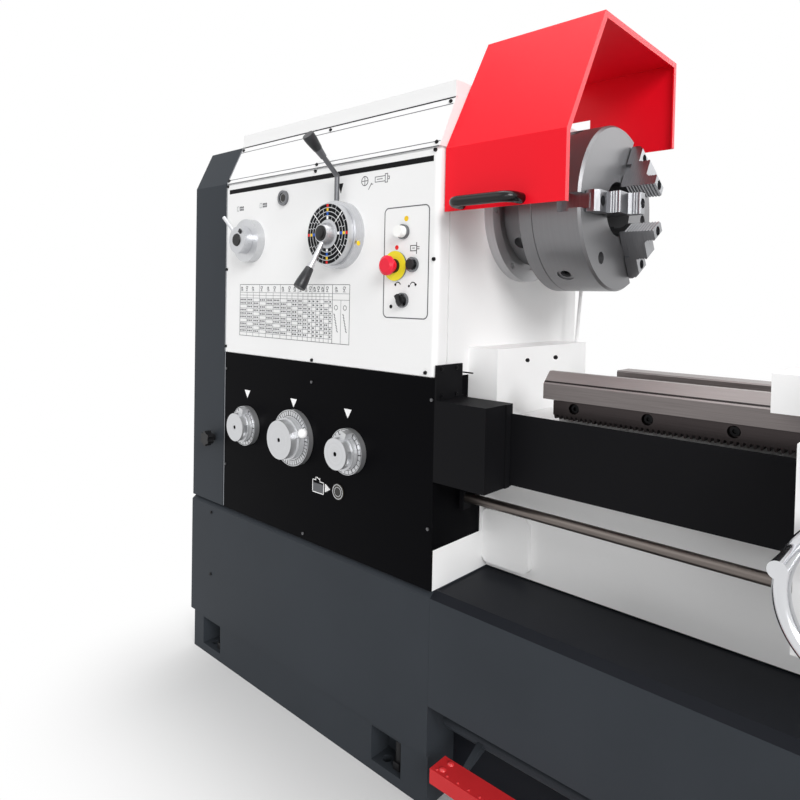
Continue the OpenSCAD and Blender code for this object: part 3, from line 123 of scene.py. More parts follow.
mix_shaders(tree, white, shade.outputs[0], glow.outputs[0], "Material Output")
floor_mesh.materials.append(floor_mat)

world = bpy.data.worlds.new("studio_air")
bpy.context.scene.world = world
world.use_nodes = True
tree = world.node_tree
air = tree.nodes["Background"]
air.inputs["Color"].default_value = (1, 1, 1, 1)
air.inputs["Strength"].default_value = 0.40
white_air = tree.nodes.new("ShaderNodeBackground")
white_air.inputs["Color"].default_value = (1, 1, 1, 1)
white_air.inputs["Strength"].default_value = 1.0
path = tree.nodes.new("ShaderNodeLightPath")
seen = work_out(tree, "MAXIMUM", path.outputs["Is Camera Ray"], path.outputs["Is Glossy Ray"])
seen = work_out(tree, "MAXIMUM", seen, path.outputs["Is Transmission Ray"])
mix_shaders(tree, seen, air.outputs[0], white_air.outputs[0], "World Output")


def lamp(name, kind, place, way, power):
    """A lamp that stands at a place and shines along a way; returns its settings."""
    data = bpy.data.lights.new(name, kind)
    data.energy = power
    made = bpy.data.objects.new(name, data)
    bpy.context.scene.collection.objects.link(made)
    made.location = place
    made.rotation_euler = Vector(way).to_track_quat("-Z", "Y").to_euler()
    return data


# Three soft boxes, each with its place, aim, width, height and power.
for name, place, aim, wide, high, power in (
    ("front_lamp", (-1.6, -3.6, 3.0), (0.0, 0.0, 0.9), 3.4, 2.2, 21),
    ("top_lamp", (0.2, 0.4, 4.6), (0.2, 0.0, 1.0), 4.0, 3.0, 88),
    ("rear_lamp", (1.5, 4.5, 3.0), (1.2, 0.0, 0.9), 4.0, 2.0, 40),
):
    box_light = lamp(name, "AREA", place, Vector(aim) - Vector(place), power)
    box_light.shape = "RECTANGLE"
    box_light.size = wide
    box_light.size_y = high

# Two wide, distant lamps light the whole length of the bed alike.
for name, way, angle, power in (
    ("right_sun", (-4.4, 2.2, -2.5), 28, 1.85),
    ("fill_sun", (-2.4, 3.2, -0.3), 24, 0.52),
):
    lamp(name, "SUN", (0, 0, 0), way, power).angle = math.radians(angle)

eye = bpy.data.cameras.new("eye")
eye.sensor_width = 36.0
eye.lens = 29.30
eye.shift_x = 0.0067
eye.shift_y = -0.1073
eye.clip_end = 60
camera = bpy.data.objects.new("camera", eye)
bpy.context.scene.collection.objects.link(camera)
eye_place = mm(847.6, -1268.8, 1000)
heading, dip, roll = 42.66, 1.46, 1.12
camera.matrix_world = (
    Matrix.Translation(eye_place)
    @ Matrix.Rotation(math.radians(heading), 4, "Z")
    @ Matrix.Rotation(math.radians(90 - dip), 4, "X")
    @ Matrix.Rotation(math.radians(roll), 4, "Z")
)
bpy.context.scene.camera = camera
bpy.context.scene.view_settings.view_transform = "Standard"

# ------------------------ head pedestal and bed pedestals
# Welded steel boxes under the headstock and along the bed, powder coated in
# anthracite with a fine orange-peel skin.


def srgb(r, g, b):
    """A colour given in display values from 0 to 255, as the linear values that a shader takes."""
    linear = []
    for value in (r / 255, g / 255, b / 255):
        linear.append(value / 12.92 if value <= 0.04045 else ((value + 0.055) / 1.055) ** 2.4)
    return (*linear, 1.0)


def new_finish(name, metal):
    """A new material; returns it, its node tree and the output that gives Object coordinates."""
    mat = bpy.data.materials.new(name)
    mat.use_nodes = True
    tree = mat.node_tree
    tree.nodes["Principled BSDF"].inputs["Metallic"].default_value = metal
    return mat, tree, tree.nodes.new("ShaderNodeTexCoord").outputs["Object"]


def noise(tree, where, scale, detail):
    """A noise pattern read at the given coordinates."""
    made = tree.nodes.new("ShaderNodeTexNoise")
    made.inputs["Scale"].default_value = scale
    made.inputs["Detail"].default_value = detail
    tree.links.new(where, made.inputs["Vector"])
    return made.outputs["Fac"]


def drive_finish(tree, pattern, relief, rgb, vary, stops, gloss, bump, depth):
    """Lets a pattern vary the colour and the gloss of a finish, and a relief its bump."""
    shade = tree.nodes["Principled BSDF"]
    tint = tree.nodes.new("ShaderNodeValToRGB")
    for stop, at, change in zip(tint.color_ramp.elements, stops, (1 - vary, 1 + vary)):
        stop.position = at
        stop.color = [min(1, c * change) for c in srgb(*rgb)[:3]] + [1]
    spread = tree.nodes.new("ShaderNodeMapRange")
    spread.inputs["To Min"].default_value = gloss[0]
    spread.inputs["To Max"].default_value = gloss[1]
    groove = tree.nodes.new("ShaderNodeBump")
    groove.inputs["Strength"].default_value = bump
    groove.inputs["Distance"].default_value = depth
    tree.links.new(pattern, tint.inputs["Fac"])
    tree.links.new(tint.outputs["Color"], shade.inputs["Base Color"])
    tree.links.new(pattern, spread.inputs["Value"])
    tree.links.new(spread.outputs["Result"], shade.inputs["Roughness"])
    tree.links.new(relief, groove.inputs["Height"])
    tree.links.new(groove.outputs["Normal"], shade.inputs["Normal"])


def powder_paint(name, rgb, rough=0.45, grain=900.0, bump=0.06, vary=0.06, metal=0.0, shine=0.3):
    """Sprayed or powder-coated metal: even colour, slight clouding and a fine pebbled skin."""
    mat, tree, place = new_finish(name, metal)
    tree.nodes["Principled BSDF"].inputs["Specular IOR Level"].default_value = shine
    cloud = noise(tree, place, 5.0, 3.0)
    skin = noise(tree, place, grain, 2.0)
    drive_finish(tree, cloud, skin, rgb, vary, (0.3, 0.7), (rough - 0.06, rough + 0.08), bump, 0.0006)
    return mat


def finish_node(name, mat):
    """Gives a node of the part one finish all over."""
    node[name].data.materials.clear()
    node[name].data.materials.append(mat)


anthracite = powder_paint("anthracite_powder", (53, 57, 62), rough=0.45, bump=0.10, shine=0.08)
for name in ("head_pedestal", "bed_pedestals"):
    finish_node(name, anthracite)

# ------------------------ stand screws
# Small blackened socket screws near the left edge of the stand's front sheet,
# where the sheet is fixed to the frame behind it.


def make_piece(name, bm, mats, smooth):
    """Turns a finished bmesh into an object with its materials."""
    bmesh.ops.recalc_face_normals(bm, faces=bm.faces)
    mesh = bpy.data.meshes.new(name)
    bm.to_mesh(mesh)
    bm.free()
    for mat in mats:
        mesh.materials.append(mat)
    if smooth:
        mesh.shade_smooth()
        mesh.set_sharp_from_angle(angle=math.radians(35))
    piece = bpy.data.objects.new(name, mesh)
    bpy.context.scene.collection.objects.link(piece)
    return piece


def put(name, bm, mats, body, smooth=True):
    """Turns a finished bmesh into a piece of the object that rides on a body."""
    piece = make_piece(name, bm, mats, smooth)
    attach(piece, body)


def facing(place, direction):
    """The matrix that sets a shape at a place and turns its Z axis along a direction."""
    return Matrix.Translation(place) @ Vector(direction).to_track_quat("Z", "Y").to_matrix().to_4x4()


operator_side = (0, -1, 0)
small_head = (0.008, 0.003)  # diameter and height of a screw's head


def cap_screw(bm, place, wide, high, direction=operator_side, socket=0.5, sides=20):
    """Socket screw head: a disc with a chamfered rim and a recess for the key."""
    r = wide / 2
    middle = facing(place, direction) @ Matrix.Translation((0, 0, high / 2))
    made = bmesh.ops.create_cone(bm, cap_ends=True, segments=sides, radius1=r, radius2=r * 0.9, depth=high,
                                 matrix=middle)
    faces = {f for v in made["verts"] for f in v.link_faces if len(f.verts) == sides}
    out = Vector(direction).normalized()
    top = max(faces, key=lambda f: (f.calc_center_median() - Vector(place)).dot(out))
    bmesh.ops.inset_region(bm, faces=[top], thickness=wide * 0.5 * (1 - socket), depth=0.0)
    bmesh.ops.inset_region(bm, faces=[top], thickness=wide * 0.02, depth=-high * 0.6)


black_steel = powder_paint("blackened_steel", (22, 22, 24), rough=0.35, metal=0.5, shine=0.3)
stand_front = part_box("head_pedestal")[0].y
screws = bmesh.new()
for x, z in ((-716, 401), (-716, 230)):
    cap_screw(screws, Vector((x * 0.001, stand_front, z * 0.001)), *small_head)
put("stand_screws", screws, [black_steel], "base")

# ------------------------ levelling bolts
# Bolts with pads on which the stand is set level, in the niches along its foot.
# They have the black, slightly rough skin of the moulded parts.

plastic_black_and_shade = powder_paint("black_plastic", (20, 20, 22), rough=0.45, bump=0.12, shine=0.35)
finish_node("levelling_bolts", plastic_black_and_shade)

# ------------------------ chip tray
# Folded sheet tray and trough ledges along the bed, in the same anthracite powder, with painted shade:
# a darker copy of it on the upper faces, which lie in the shade of the bed, and on the wall of the recess.

tray_shade = powder_paint("tray_painted_shade", (30, 32, 37), rough=0.4, bump=0.05, shine=0.06)
finish_node("chip_tray", anthracite)


def second_finish(name, mat, chosen):
    """Gives one more finish to the faces of a node that a test picks."""
    mesh = node[name].data
    mesh.materials.append(mat)
    for face in mesh.polygons:
        if chosen(face):
            face.material_index = len(mesh.materials) - 1


# Painted shade: the upward faces and the recess wall get the darker copy of the paint.
second_finish("chip_tray", tray_shade,
              lambda face: face.normal.z > 0.8 or (face.normal.y < -0.5 and -0.25 < face.center.y < 0))

# ------------------------ headstock casing
# Grey-iron casting with its sheet front, slanted panel and lid, all sprayed white,
# and the sheet cabinet behind it, sprayed with them.

white_enamel = powder_paint("white_enamel", (240, 240, 240), rough=0.4, vary=0.008, bump=0.04, shine=0.25)
for name in ("headstock", "headstock_lid", "front_panels", "cabinet"):
    finish_node(name, white_enamel)

# ------------------------ sheet seams
# Shadow lines where the sheets meet: along the fold of the front, across the slanted
# panel and in the joint under the lid.

front_low, front_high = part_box("front_panels")
lid_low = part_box("headstock_lid")[0]
front_y = front_low.y
fold_z = 1.293
slant = Vector((0, lid_low.y, lid_low.z)) - Vector((0, front_y, fold_z))
tilt = Matrix.Rotation(-math.atan2(slant.y, slant.z), 4, "X")
slant_out = Vector((0, -slant.z, slant.y)).normalized()
seams = bmesh.new()


def bar(bm, place, size, mat=0):
    """A rectangular bar of a given size, set in place by a matrix."""
    made = bmesh.ops.create_cube(bm, size=1.0, matrix=place @ Matrix.Diagonal((*size, 1)))
    for face in {f for v in made["verts"] for f in v.link_faces}:
        face.material_index = mat


wide = front_high.x - front_low.x - 0.004
middle = 0.5 * (front_low.x + front_high.x)
bar(seams, Matrix.Translation((middle, front_y - 0.0002, 1.2915)), (wide, 0.0005, 0.0018))
# Across the slanted panel: two thin seams and, under the lid, a deeper gap.
for part, deep, thick, mat in (
    (0.087, 0.0008, 0.0018, 0),
    (0.846, 0.0008, 0.0018, 0),
    (0.985, 0.0010, 0.0030, 1),
):
    at = Vector((middle, front_y, fold_z)) + slant * part
    bar(seams, Matrix.Translation(at) @ tilt, (wide, deep, thick), mat)
seam_grey = powder_paint("seam_grey", (112, 113, 116), rough=0.7, shine=0.1)
gap_black = powder_paint("gap_black", (14, 14, 15), rough=0.8, shine=0.05)
put("sheet_seams", seams, [seam_grey, gap_black], "base", smooth=False)

# ------------------------ casing screws
# Small black socket screws that hold the front sheet and the slanted panel along
# their edges.

screws = bmesh.new()
for x, z in ((-657, 1285), (-302, 1285), (50, 1285), (-658, 1066), (-658, 862), (-304.9, 852.4),
             (51.5, 1075.5), (36, 854.7)):
    cap_screw(screws, mm(x, -296, z), *small_head)
for x, part in ((-657, 0.067), (-302, 0.067), (50, 0.067), (-652, 0.904), (-303, 0.904), (50, 0.904)):
    cap_screw(screws, Vector((x * 0.001, front_y, fold_z)) + slant * part, *small_head, slant_out)
put("casing_screws", screws, [black_steel], "base")

# ------------------------ front print
# Flat screen print on the white front: a black stripe, plain pictograms, the speed
# chart's grid with ticks in its cells, and the rounded frame round the push buttons.

print_black = powder_paint("print_black", (16, 16, 18), rough=0.6, shine=0.1)
print_grey = powder_paint("print_grey", (100, 101, 104), rough=0.6, shine=0.1)
print_pale = powder_paint("print_pale", (140, 141, 144), rough=0.6, shine=0.1)
print_yellow = powder_paint("print_yellow", (240, 200, 40), rough=0.5, shine=0.2)
print_red = powder_paint("print_red", (226, 40, 40), rough=0.5, shine=0.2)
print_blue = powder_paint("print_blue", (30, 90, 190), rough=0.5, shine=0.2)
print_white = powder_paint("print_white", (246, 246, 246), rough=0.5, shine=0.2)
front_inks = [print_black, print_grey, print_yellow, print_red, print_pale]
black, grey, yellow, red, pale = range(5)
ink_lift = 0.0003


def print_bar(bm, x0, x1, z0, z1, mat=black, turn=0.0):
    """A printed rectangle on the front plane, given in millimetres and turned about its middle."""
    place = Matrix.Translation((0.0005 * (x0 + x1), front_y - 0.5 * ink_lift, 0.0005 * (z0 + z1)))
    size = ((x1 - x0) * 0.001, ink_lift, (z1 - z0) * 0.001)
    bar(bm, place @ Matrix.Rotation(math.radians(turn), 4, "Y"), size, mat)


def print_bars(bm, bars, mat=black, x=0, z=0):
    """Several printed rectangles, measured from a point."""
    for x0, x1, z0, z1 in bars:
        print_bar(bm, x + x0, x + x1, z + z0, z + z1, mat)


quarter_turn = Matrix.Rotation(math.pi / 2, 4, "X")  # turns a shape's Z axis to the operator's side


def front_disc(bm, place, r, depth, sides=48, front_r=None, mat=0):
    """A disc or a short cylinder that faces the operator, with its middle at a place."""
    made = bmesh.ops.create_cone(bm, cap_ends=True, segments=sides, radius1=r, radius2=front_r or r,
                                 depth=depth, matrix=Matrix.Translation(place) @ quarter_turn)
    for face in {f for v in made["verts"] for f in v.link_faces}:
        face.material_index = mat


def around(x, z, r, a):
    """The point at radius r and angle a, in radians, round a middle on the front plane."""
    return x + r * math.cos(a), z + r * math.sin(a)


def print_ring(bm, x, z, r, line, start=0, stop=360, mat=grey):
    """A circle or an arc drawn with short printed strokes."""
    count = max(4, int((stop - start) / 18))
    long = math.tau * r * (stop - start) / 360 / count
    for k in range(count):
        angle = start + (stop - start) * (k + 0.5) / count
        u, v = around(x, z, r, math.radians(angle))
        print_bar(bm, u - long * 0.55, u + long * 0.55, v - line / 2, v + line / 2, mat, turn=90 - angle)


def flat_piece(bm, outline, front, back, mat=0):
    """A closed thin piece: an outline of x and z in metres, between two depths."""
    ground = bm.faces.new([bm.verts.new((x, back, z)) for x, z in outline])
    made = bmesh.ops.extrude_face_region(bm, geom=[ground], use_keep_orig=True)["geom"]
    raised = [v for v in made if isinstance(v, bmesh.types.BMVert)]
    bmesh.ops.translate(bm, vec=(0, front - back, 0), verts=raised)
    for face in {ground} | {f for v in raised for f in v.link_faces}:
        face.material_index = mat


def print_wedge(bm, x, z, w, h):
    """A solid triangle that points down, with its upper edge at z."""
    x, z, w, h = x * 0.001, z * 0.001, w * 0.001, h * 0.001
    flat_piece(bm, [(x - w / 2, z), (x, z - h), (x + w / 2, z)], front_y - ink_lift, front_y)


marks = bmesh.new()
# The black stripe below the fold, and the wedge over the dial where it is read.
print_bar(marks, -650, 46, 1264, 1275)
print_wedge(marks, -216.6, 1248, 16, 22)
# Two strips of gear teeth, each beside a faint square.
square = ((-21, -12, 5, 6), (-21, -12, -6, -5), (-21, -20, -6, 6), (-13, -12, -6, 6))
for x, z in ((-593.5, 1222.6), (-494.3, 1223.5)):
    for col in range(3):
        for row in range(2):
            u, v = x - 8.5 + col * 6, z - 5.5 + row * 6
            print_bar(marks, u, u + 4.6, v, v + 4.6, grey)
    print_bars(marks, square, pale, x, z)
# A ring with a cross for the feed, a tool, and a flanged work-piece beside it.
print_ring(marks, -141.9, 1245.4, 9.5, 1.6)
print_bars(marks, ((-151, -133, 1244.7, 1246.1), (-142.6, -141.2, 1236, 1254.8)), grey)
print_bar(marks, -134, -118, 1232, 1233.6, grey, turn=-55)
flanged_piece = (
    (-124, -117, 1236, 1237.4), (-112, -83, 1249.6, 1251), (-112, -83, 1239, 1240.4),
    (-112, -110.6, 1239, 1251), (-83, -81.6, 1236, 1255), (-83, -75, 1253.6, 1255),
    (-83, -75, 1236, 1237.4), (-76.4, -75, 1236, 1255), (-75, -70, 1242, 1243.4),
    (-75, -70, 1247.6, 1249), (-71.4, -70, 1242, 1249), (-106, -90, 1244.4, 1245.8),
)
print_bars(marks, flanged_piece, grey)

# The speed chart: outer frame, a row of gear signs, head rows, and a grid with ticks.
left, right, split_x, top, low = -596.0, -182.4, -238.0, 1026.0, 895.0
columns = [-565, -538, -511.6, -484, -455, -426, -400.7, -381.7, -359.2, -340.8, -322.7, -308.4, -294.3,
           -280.4, -266.7, -249.8]
row_step = 8.8
rows = [1006.0, 999.0, 992.0] + [992.0 - row_step * k for k in range(1, 11)]


def chart_line(x0, x1, z0, z1, ink, half=0.5):
    """A line of the chart, down where both x are the same, or else across."""
    if x0 == x1:
        print_bar(marks, x0 - half, x1 + half, z0, z1, ink)
    else:
        print_bar(marks, x0, x1, z0 - half, z1 + half, ink)


for x in (left, right, split_x):
    chart_line(x, x, low, top, grey, 0.6)
for z in (low, top):
    chart_line(left, right, z, z, grey, 0.6)
for x in columns:
    chart_line(x, x, low, rows[0], pale)
for x in columns[2::3]:
    chart_line(x, x, rows[0], top, pale)
for z in rows:
    chart_line(left, split_x, z, z, pale)
for z in (rows[0], rows[2]):
    chart_line(split_x, right, z, z, pale)
chart_line(-210, -210, low, rows[2], pale)
edges = [left] + columns + [split_x]
for i in range(len(edges) - 1):
    x0, x1 = edges[i] + 2.4, edges[i + 1] - 2.4
    cells = max(1, int((x1 - x0) / 6))
    w = (x1 - x0) / cells
    for k in range(2, len(rows) - 1):
        if (i * 5 + k * 3) % 4 != 0:
            for c in range(cells):
                print_bar(marks, x0 + c * w, x0 + (c + 0.66) * w, rows[k] - 6.2, rows[k] - 2.6, grey)
gear_signs = (-588, -566, -540, -503, -476, -450, -417, -392, -372, -350, -330, -315, -300, -286, -272,
              -256, -226, -200)
for k, x in enumerate(gear_signs):
    print_ring(marks, x, 1016 + (k % 2) * 2, 3.4, 1.2, start=20, stop=320)
    print_bar(marks, x - 4, x + 4, 1009.4, 1010.6, grey)
    print_bar(marks, x + 1, x + 2.4, 1010, 1022, grey, turn=30 if k % 2 else -30)
for x in (-226, -197):
    for k in range(7):
        print_bar(marks, x - 8 + 1.6 * k, x - 2 + 1.6 * k, 958 - 6 * k, 960 - 6 * k, grey, turn=50)
    print_ring(marks, x, 975, 5, 1.2)

# Rounded frame of the button field, its signal dots, a work-piece and two arrows.
left, right, low, top, corner_r, line = -82, 39, 958, 1183, 12, 2.2
x0, x1, z0, z1 = left + corner_r, right - corner_r, low + corner_r, top - corner_r
print_bars(marks, ((x0, x1, low, low + line), (x0, x1, top - line, top),
                   (left, left + line, z0, z1), (right - line, right, z0, z1)), grey)
for x, z, start in ((x0, z0, 180), (x1, z0, 270), (x1, z1, 0), (x0, z1, 90)):
    print_ring(marks, x, z, corner_r - line / 2, line, start=start, stop=start + 90)
for x, z, d, ink in (
    (-21.9, 1158.1, 11, yellow),
    (-46.1, 1101.3, 9.5, red),
    (-59.5, 981.5, 8, black),
    (-11.6, 1023.5, 5, black),
):
    place = (x * 0.001, front_y - 0.5 * ink_lift, z * 0.001)
    front_disc(marks, place, d * 0.0005, ink_lift, sides=24, mat=ink)
held_piece = ((-10, 6, 1092.6, 1094), (-10, 6, 1103, 1104.4), (-10, -8.6, 1093, 1104), (6, 7.4, 1087, 1110),
              (7, 14, 1096, 1097.4), (7, 14, 1100, 1101.4), (-5, 2, 1098, 1099.2))
print_bars(marks, held_piece)
for x, side in ((-41.4, 1), (-1.2, -1)):
    print_ring(marks, x, 1024, 7, 1.8, start=20, stop=160, mat=black)
    print_bar(marks, x - side * 9.5, x - side * 4.5, 1024, 1028, turn=35 * side)
put("front_print", marks, front_inks, "base", smooth=False)

# ------------------------ panel signs
# White print on the black panel: a wedge over each selector, and beside the oil
# sight a plain picture of a filled tank with an arrow.

sign_white, sign_grey = range(2)
signs = bmesh.new()
for x in (-557.5, -369.5, -182):
    print_wedge(signs, x, 755, 24, 20)
tank = ((-296, -294.2, 550, 580), (-257.8, -256, 550, 578), (-296, -256, 550, 551.8),
        (-296, -284, 578.2, 580), (-270, -256, 576.2, 578), (-285, -283.4, 578, 586),
        (-271, -269.4, 576, 586))
print_bars(signs, tank, sign_white)
print_bar(signs, -294, -258, 552, 572, sign_grey)
print_bar(signs, -282, -270, 583, 585, sign_white, turn=20)
for k in range(6):
    print_bar(signs, -252 + 2.6 * k, -249 + 2.6 * k, 558 + 1.5 * k, 576 - 1.5 * k, sign_white)
put("panel_signs", signs, [print_white, print_grey], "base", smooth=False)

# ------------------------ end cover
# Deep case over the belts and change gears, hinged at the rear: welded from sheet
# steel and powder coated like the stand.

finish_node("end_cover", anthracite)

# ------------------------ cover edge strip
# A bright strip on the cover's own edge, where it closes against the headstock's
# front sheet and follows its slanted top.

cover_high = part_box("end_cover")[1]
edge = bmesh.new()
foot = Vector((cover_high.x - 0.0016, front_y - 0.0003, 0.862))
bar(edge, Matrix.Translation(foot), (0.0022, 0.001, 0.858))
mid = Vector((foot.x, foot.y, fold_z)) + slant * 0.5
bar(edge, Matrix.Translation(mid) @ tilt, (0.0022, 0.001, slant.length))
edge_grey = powder_paint("edge_grey", (140, 143, 148), rough=0.4, metal=0.3, shine=0.3)
put("cover_edge_strip", edge, [edge_grey], "end_cover", smooth=False)

# ------------------------ cover knob
# Star knob on a threaded stud, which holds the end cover shut. It is moulded in
# black plastic with a slightly rough skin.

finish_node("cover_knob", plastic_black_and_shade)

# ------------------------ gearbox panel
# Sheet panel over the feed gearbox, powder coated in a deep black with a fine
# skin, and held by screws along its edges.

panel_black = powder_paint("black_powder", (4, 4, 6), rough=0.5, bump=0.08, shine=0.035)
finish_node("feed_gearbox", panel_black)

# ------------------------ panel screws
# Zinc-plated socket screws round the edges of the black panel, which fix it to the
# gearbox behind it.


def worked_steel(name, rgb, rough=0.32, along=(1, 60, 60), scale=14.0, bump=0.05, vary=0.12):
    """Ground or milled steel: fine scratches drawn out along the cut, darker and lighter streaks."""
    mat, tree, place = new_finish(name, 1.0)
    lay = tree.nodes.new("ShaderNodeMapping")
    lay.inputs["Scale"].default_value = along
    tree.links.new(place, lay.inputs["Vector"])
    cut = noise(tree, lay.outputs["Vector"], scale, 6.0)
    drive_finish(tree, cut, cut, rgb, vary, (0.3, 0.7), (rough - 0.08, rough + 0.12), bump, 0.0005)
    return mat


zinc = worked_steel("zinc_screws", (120, 120, 122), rough=0.35, along=(1, 1, 1), scale=60)
screws = bmesh.new()
for x, z in ((-654, 802.5), (-654, 546.8), (-303.7, 801.8), (-326.5, 444), (53.6, 803.5), (50.4, 551.3)):
    cap_screw(screws, mm(x, -296, z), 0.007, 0.0025)
put("panel_screws", screws, [zinc], "base")

# ------------------------ fixed rings of the controls
# Turned rings round the dial and the three selectors, bright from the lathe. They
# are fixed to the front, and the levers and knobs turn in them.


def turned_steel(name, rgb, axis="Y", centre=(0, 0, 0), rough=0.26, pitch=900.0, bump=0.03, vary=0.05,
                 metal=1.0):
    """Lathe-turned metal: fine rings about its own axis, so the gloss runs round the piece."""
    mat, tree, place = new_finish(name, metal)
    shift = tree.nodes.new("ShaderNodeMapping")
    shift.inputs["Location"].default_value = [-c for c in centre]
    split = tree.nodes.new("ShaderNodeSeparateXYZ")
    ring = tree.nodes.new("ShaderNodeCombineXYZ")
    far = tree.nodes.new("ShaderNodeVectorMath")
    far.operation = "LENGTH"
    lines = tree.nodes.new("ShaderNodeCombineXYZ")
    tree.links.new(place, shift.inputs["Vector"])
    tree.links.new(shift.outputs["Vector"], split.inputs["Vector"])
    for side, across in zip("XY", [a for a in "XYZ" if a != axis]):
        tree.links.new(split.outputs[across], ring.inputs[side])
    tree.links.new(ring.outputs["Vector"], far.inputs[0])
    tree.links.new(far.outputs["Value"], lines.inputs["X"])
    tree.links.new(split.outputs[axis], lines.inputs["Y"])
    cut = noise(tree, lines.outputs["Vector"], pitch, 2.0)
    drive_finish(tree, cut, cut, rgb, vary, (0.35, 0.65), (rough - 0.06, rough + 0.1), bump, 0.0004)
    return mat


dial_x, dial_z = -0.213, 1.134
lever_x, lever_z = -0.546, 1.136
dial_middle = (dial_x, 0, dial_z)
ring_steel = turned_steel("turned_rings", (206, 207, 209), centre=dial_middle, rough=0.34, metal=0.85)
finish_node("control_rings", ring_steel)

# ------------------------ dial face
# Printed face of the speed dial: four rings of black cells on a pale ground, parted
# by white diagonals, with a red, yellow, blue and white mark at each quarter.

dial_pale = powder_paint("dial_pale", (196, 197, 200), rough=0.4, metal=0.3, shine=0.3)
dial_inks = [print_black, print_white, print_red, print_yellow, print_blue, dial_pale]
cell_ink, line_ink, ground_ink = 0, 1, 5
quarter_inks = (2, 3, 4, 1)
face_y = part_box("control_rings")[0].y
ground_y = face_y - 0.0006
dial = bmesh.new()
front_disc(dial, (dial_x, face_y - 0.0003, dial_z), 0.0655, 0.0006, sides=64, mat=ground_ink)


def dial_cell(r0, r1, a0, a1, lift, mat):
    """A piece of a ring, from radius r0 to r1 and from angle a0 to a1, raised over the ground."""
    angles = [a0 + (a1 - a0) * k / 3 for k in range(4)]
    outer = [around(dial_x, dial_z, r1, a) for a in angles]
    inner = [around(dial_x, dial_z, r0, a) for a in angles]
    flat_piece(dial, outer + inner[::-1], ground_y - lift, ground_y, mat)


dial_r, ring_step, ring_wide = 0.0645, 0.0087, 0.0070
for ring, count in enumerate((28, 24, 20, 16)):
    r1 = dial_r - ring_step * ring
    r0 = r1 - ring_wide
    gap, half = 0.0008 / r1, 0.0032 / r1
    for k in range(count):
        a0, a1 = math.tau * k / count, math.tau * (k + 1) / count
        joined = (k * 5 + ring * 3) % 7 < 3
        dial_cell(r0, r1, a0 + gap, a1 + gap if joined else a1 - gap, 0.0002, cell_ink)
    for k in range(4):
        a = math.pi / 2 * k
        dial_cell(r0 + 0.0006, r1 - 0.0006, a - half, a + half, 0.0004, quarter_inks[ring])
for k in range(4):
    a = math.pi / 4 + math.pi / 2 * k
    dial_cell(0.0315, dial_r, a - 0.018, a + 0.018, 0.0004, line_ink)
put("dial_face", dial, dial_inks, "base", smooth=False)

# ------------------------ levers
# Satin-chromed range collar, speed lever and thread lever; the range lever's stick
# is a darker, dull steel.

satin_chrome = turned_steel("satin_lever", (202, 203, 206), centre=dial_middle, rough=0.28, bump=0.01,
                            metal=0.85)
for name in ("range_lever", "speed_lever", "thread_lever"):
    finish_node(name, satin_chrome)
stick_steel = powder_paint("stick_steel", (104, 105, 108), rough=0.35, metal=0.8)
collar_r = 0.0735
second_finish("range_lever", stick_steel, lambda face: face.center.z > dial_z + collar_r)

# ------------------------ range dot
# A drop of yellow enamel on the rim of the range collar. It turns with the collar
# and marks the chosen range.

dots = bmesh.new()
x, z = around(dial_x, dial_z, 0.0785, math.radians(-16))
place = Matrix.Translation((x, front_y - 0.020, z))
bmesh.ops.create_uvsphere(dots, u_segments=16, v_segments=8, radius=0.0052,
                          matrix=place @ Matrix.Diagonal((0.25, 1, 1, 1)))
put("range_dot", dots, [print_yellow], "range_lever")

# ------------------------ range grip
# Dark moulded sleeve on the range lever, widening to a flat end. It is plastic and
# pushed over the end of the stick.

grip_grey = powder_paint("grip_grey", (36, 37, 40), rough=0.3, bump=0.05, shine=0.4)


def spun(bm, outline, steps, place, ring=False):
    """Spins an outline of radius and height round Z, closes it and sets it in place by a matrix."""
    old = set(bm.verts)
    points = [bm.verts.new((r, 0, h)) for r, h in outline]
    lines = [bm.edges.new(pair) for pair in zip(points, points[1:] + (points[:1] if ring else []))]
    bmesh.ops.spin(bm, geom=points + lines, cent=(0, 0, 0), axis=(0, 0, 1), angle=math.tau, steps=steps,
                   use_merge=True)
    bmesh.ops.remove_doubles(bm, verts=[v for v in bm.verts if v not in old], dist=1e-6)
    bmesh.ops.holes_fill(bm, edges=[e for e in bm.edges if e.is_boundary])
    bmesh.ops.transform(bm, matrix=place, verts=[v for v in bm.verts if v not in old])


def grip_sleeve(name, joint, tip, body, start):
    """A tapered moulded sleeve over a lever, from start metres below its tip to a flat end."""
    bm = bmesh.new()
    neck = 0.0124 - 0.0957 * start
    outline = [(0.0050, -start - 0.001), (neck - 0.0008, -start - 0.001), (neck, -start), (0.0129, -0.0030),
               (0.0133, 0.0040), (0.0133, 0.0112), (0.0125, 0.0133), (0.0, 0.0136)]
    spun(bm, outline, 32, facing(tip, (tip - joint).normalized()))
    put(name, bm, [grip_grey], body)


grip_sleeve("range_grip", mm(-213, -311, 1262), mm(-213, -385, 1326), "range_lever", 0.024)

# ------------------------ speed grip
# The same sleeve on the speed lever, which hangs down to the left. It covers more
# of its stick than the range lever's does.

grip_sleeve("speed_grip", mm(-219, -366.3, 1078), mm(-225, -394.3, 1028), "speed_lever", 0.035)

# ------------------------ speed cap
# Black plastic cap pressed into the middle of the speed lever's hub, with a flat
# rim round a raised middle.

hub_disc = bmesh.new()
profile = [(0.0168, 0.0), (0.0168, 0.0012), (0.0158, 0.0018), (0.0118, 0.0020), (0.0112, 0.0048),
           (0.0098, 0.0056), (0.0, 0.0056)]
spun(hub_disc, profile, 48, Matrix.Translation((dial_x, -0.3553, dial_z)) @ quarter_turn)
put("speed_cap", hub_disc, [plastic_black_and_shade], "speed_lever")
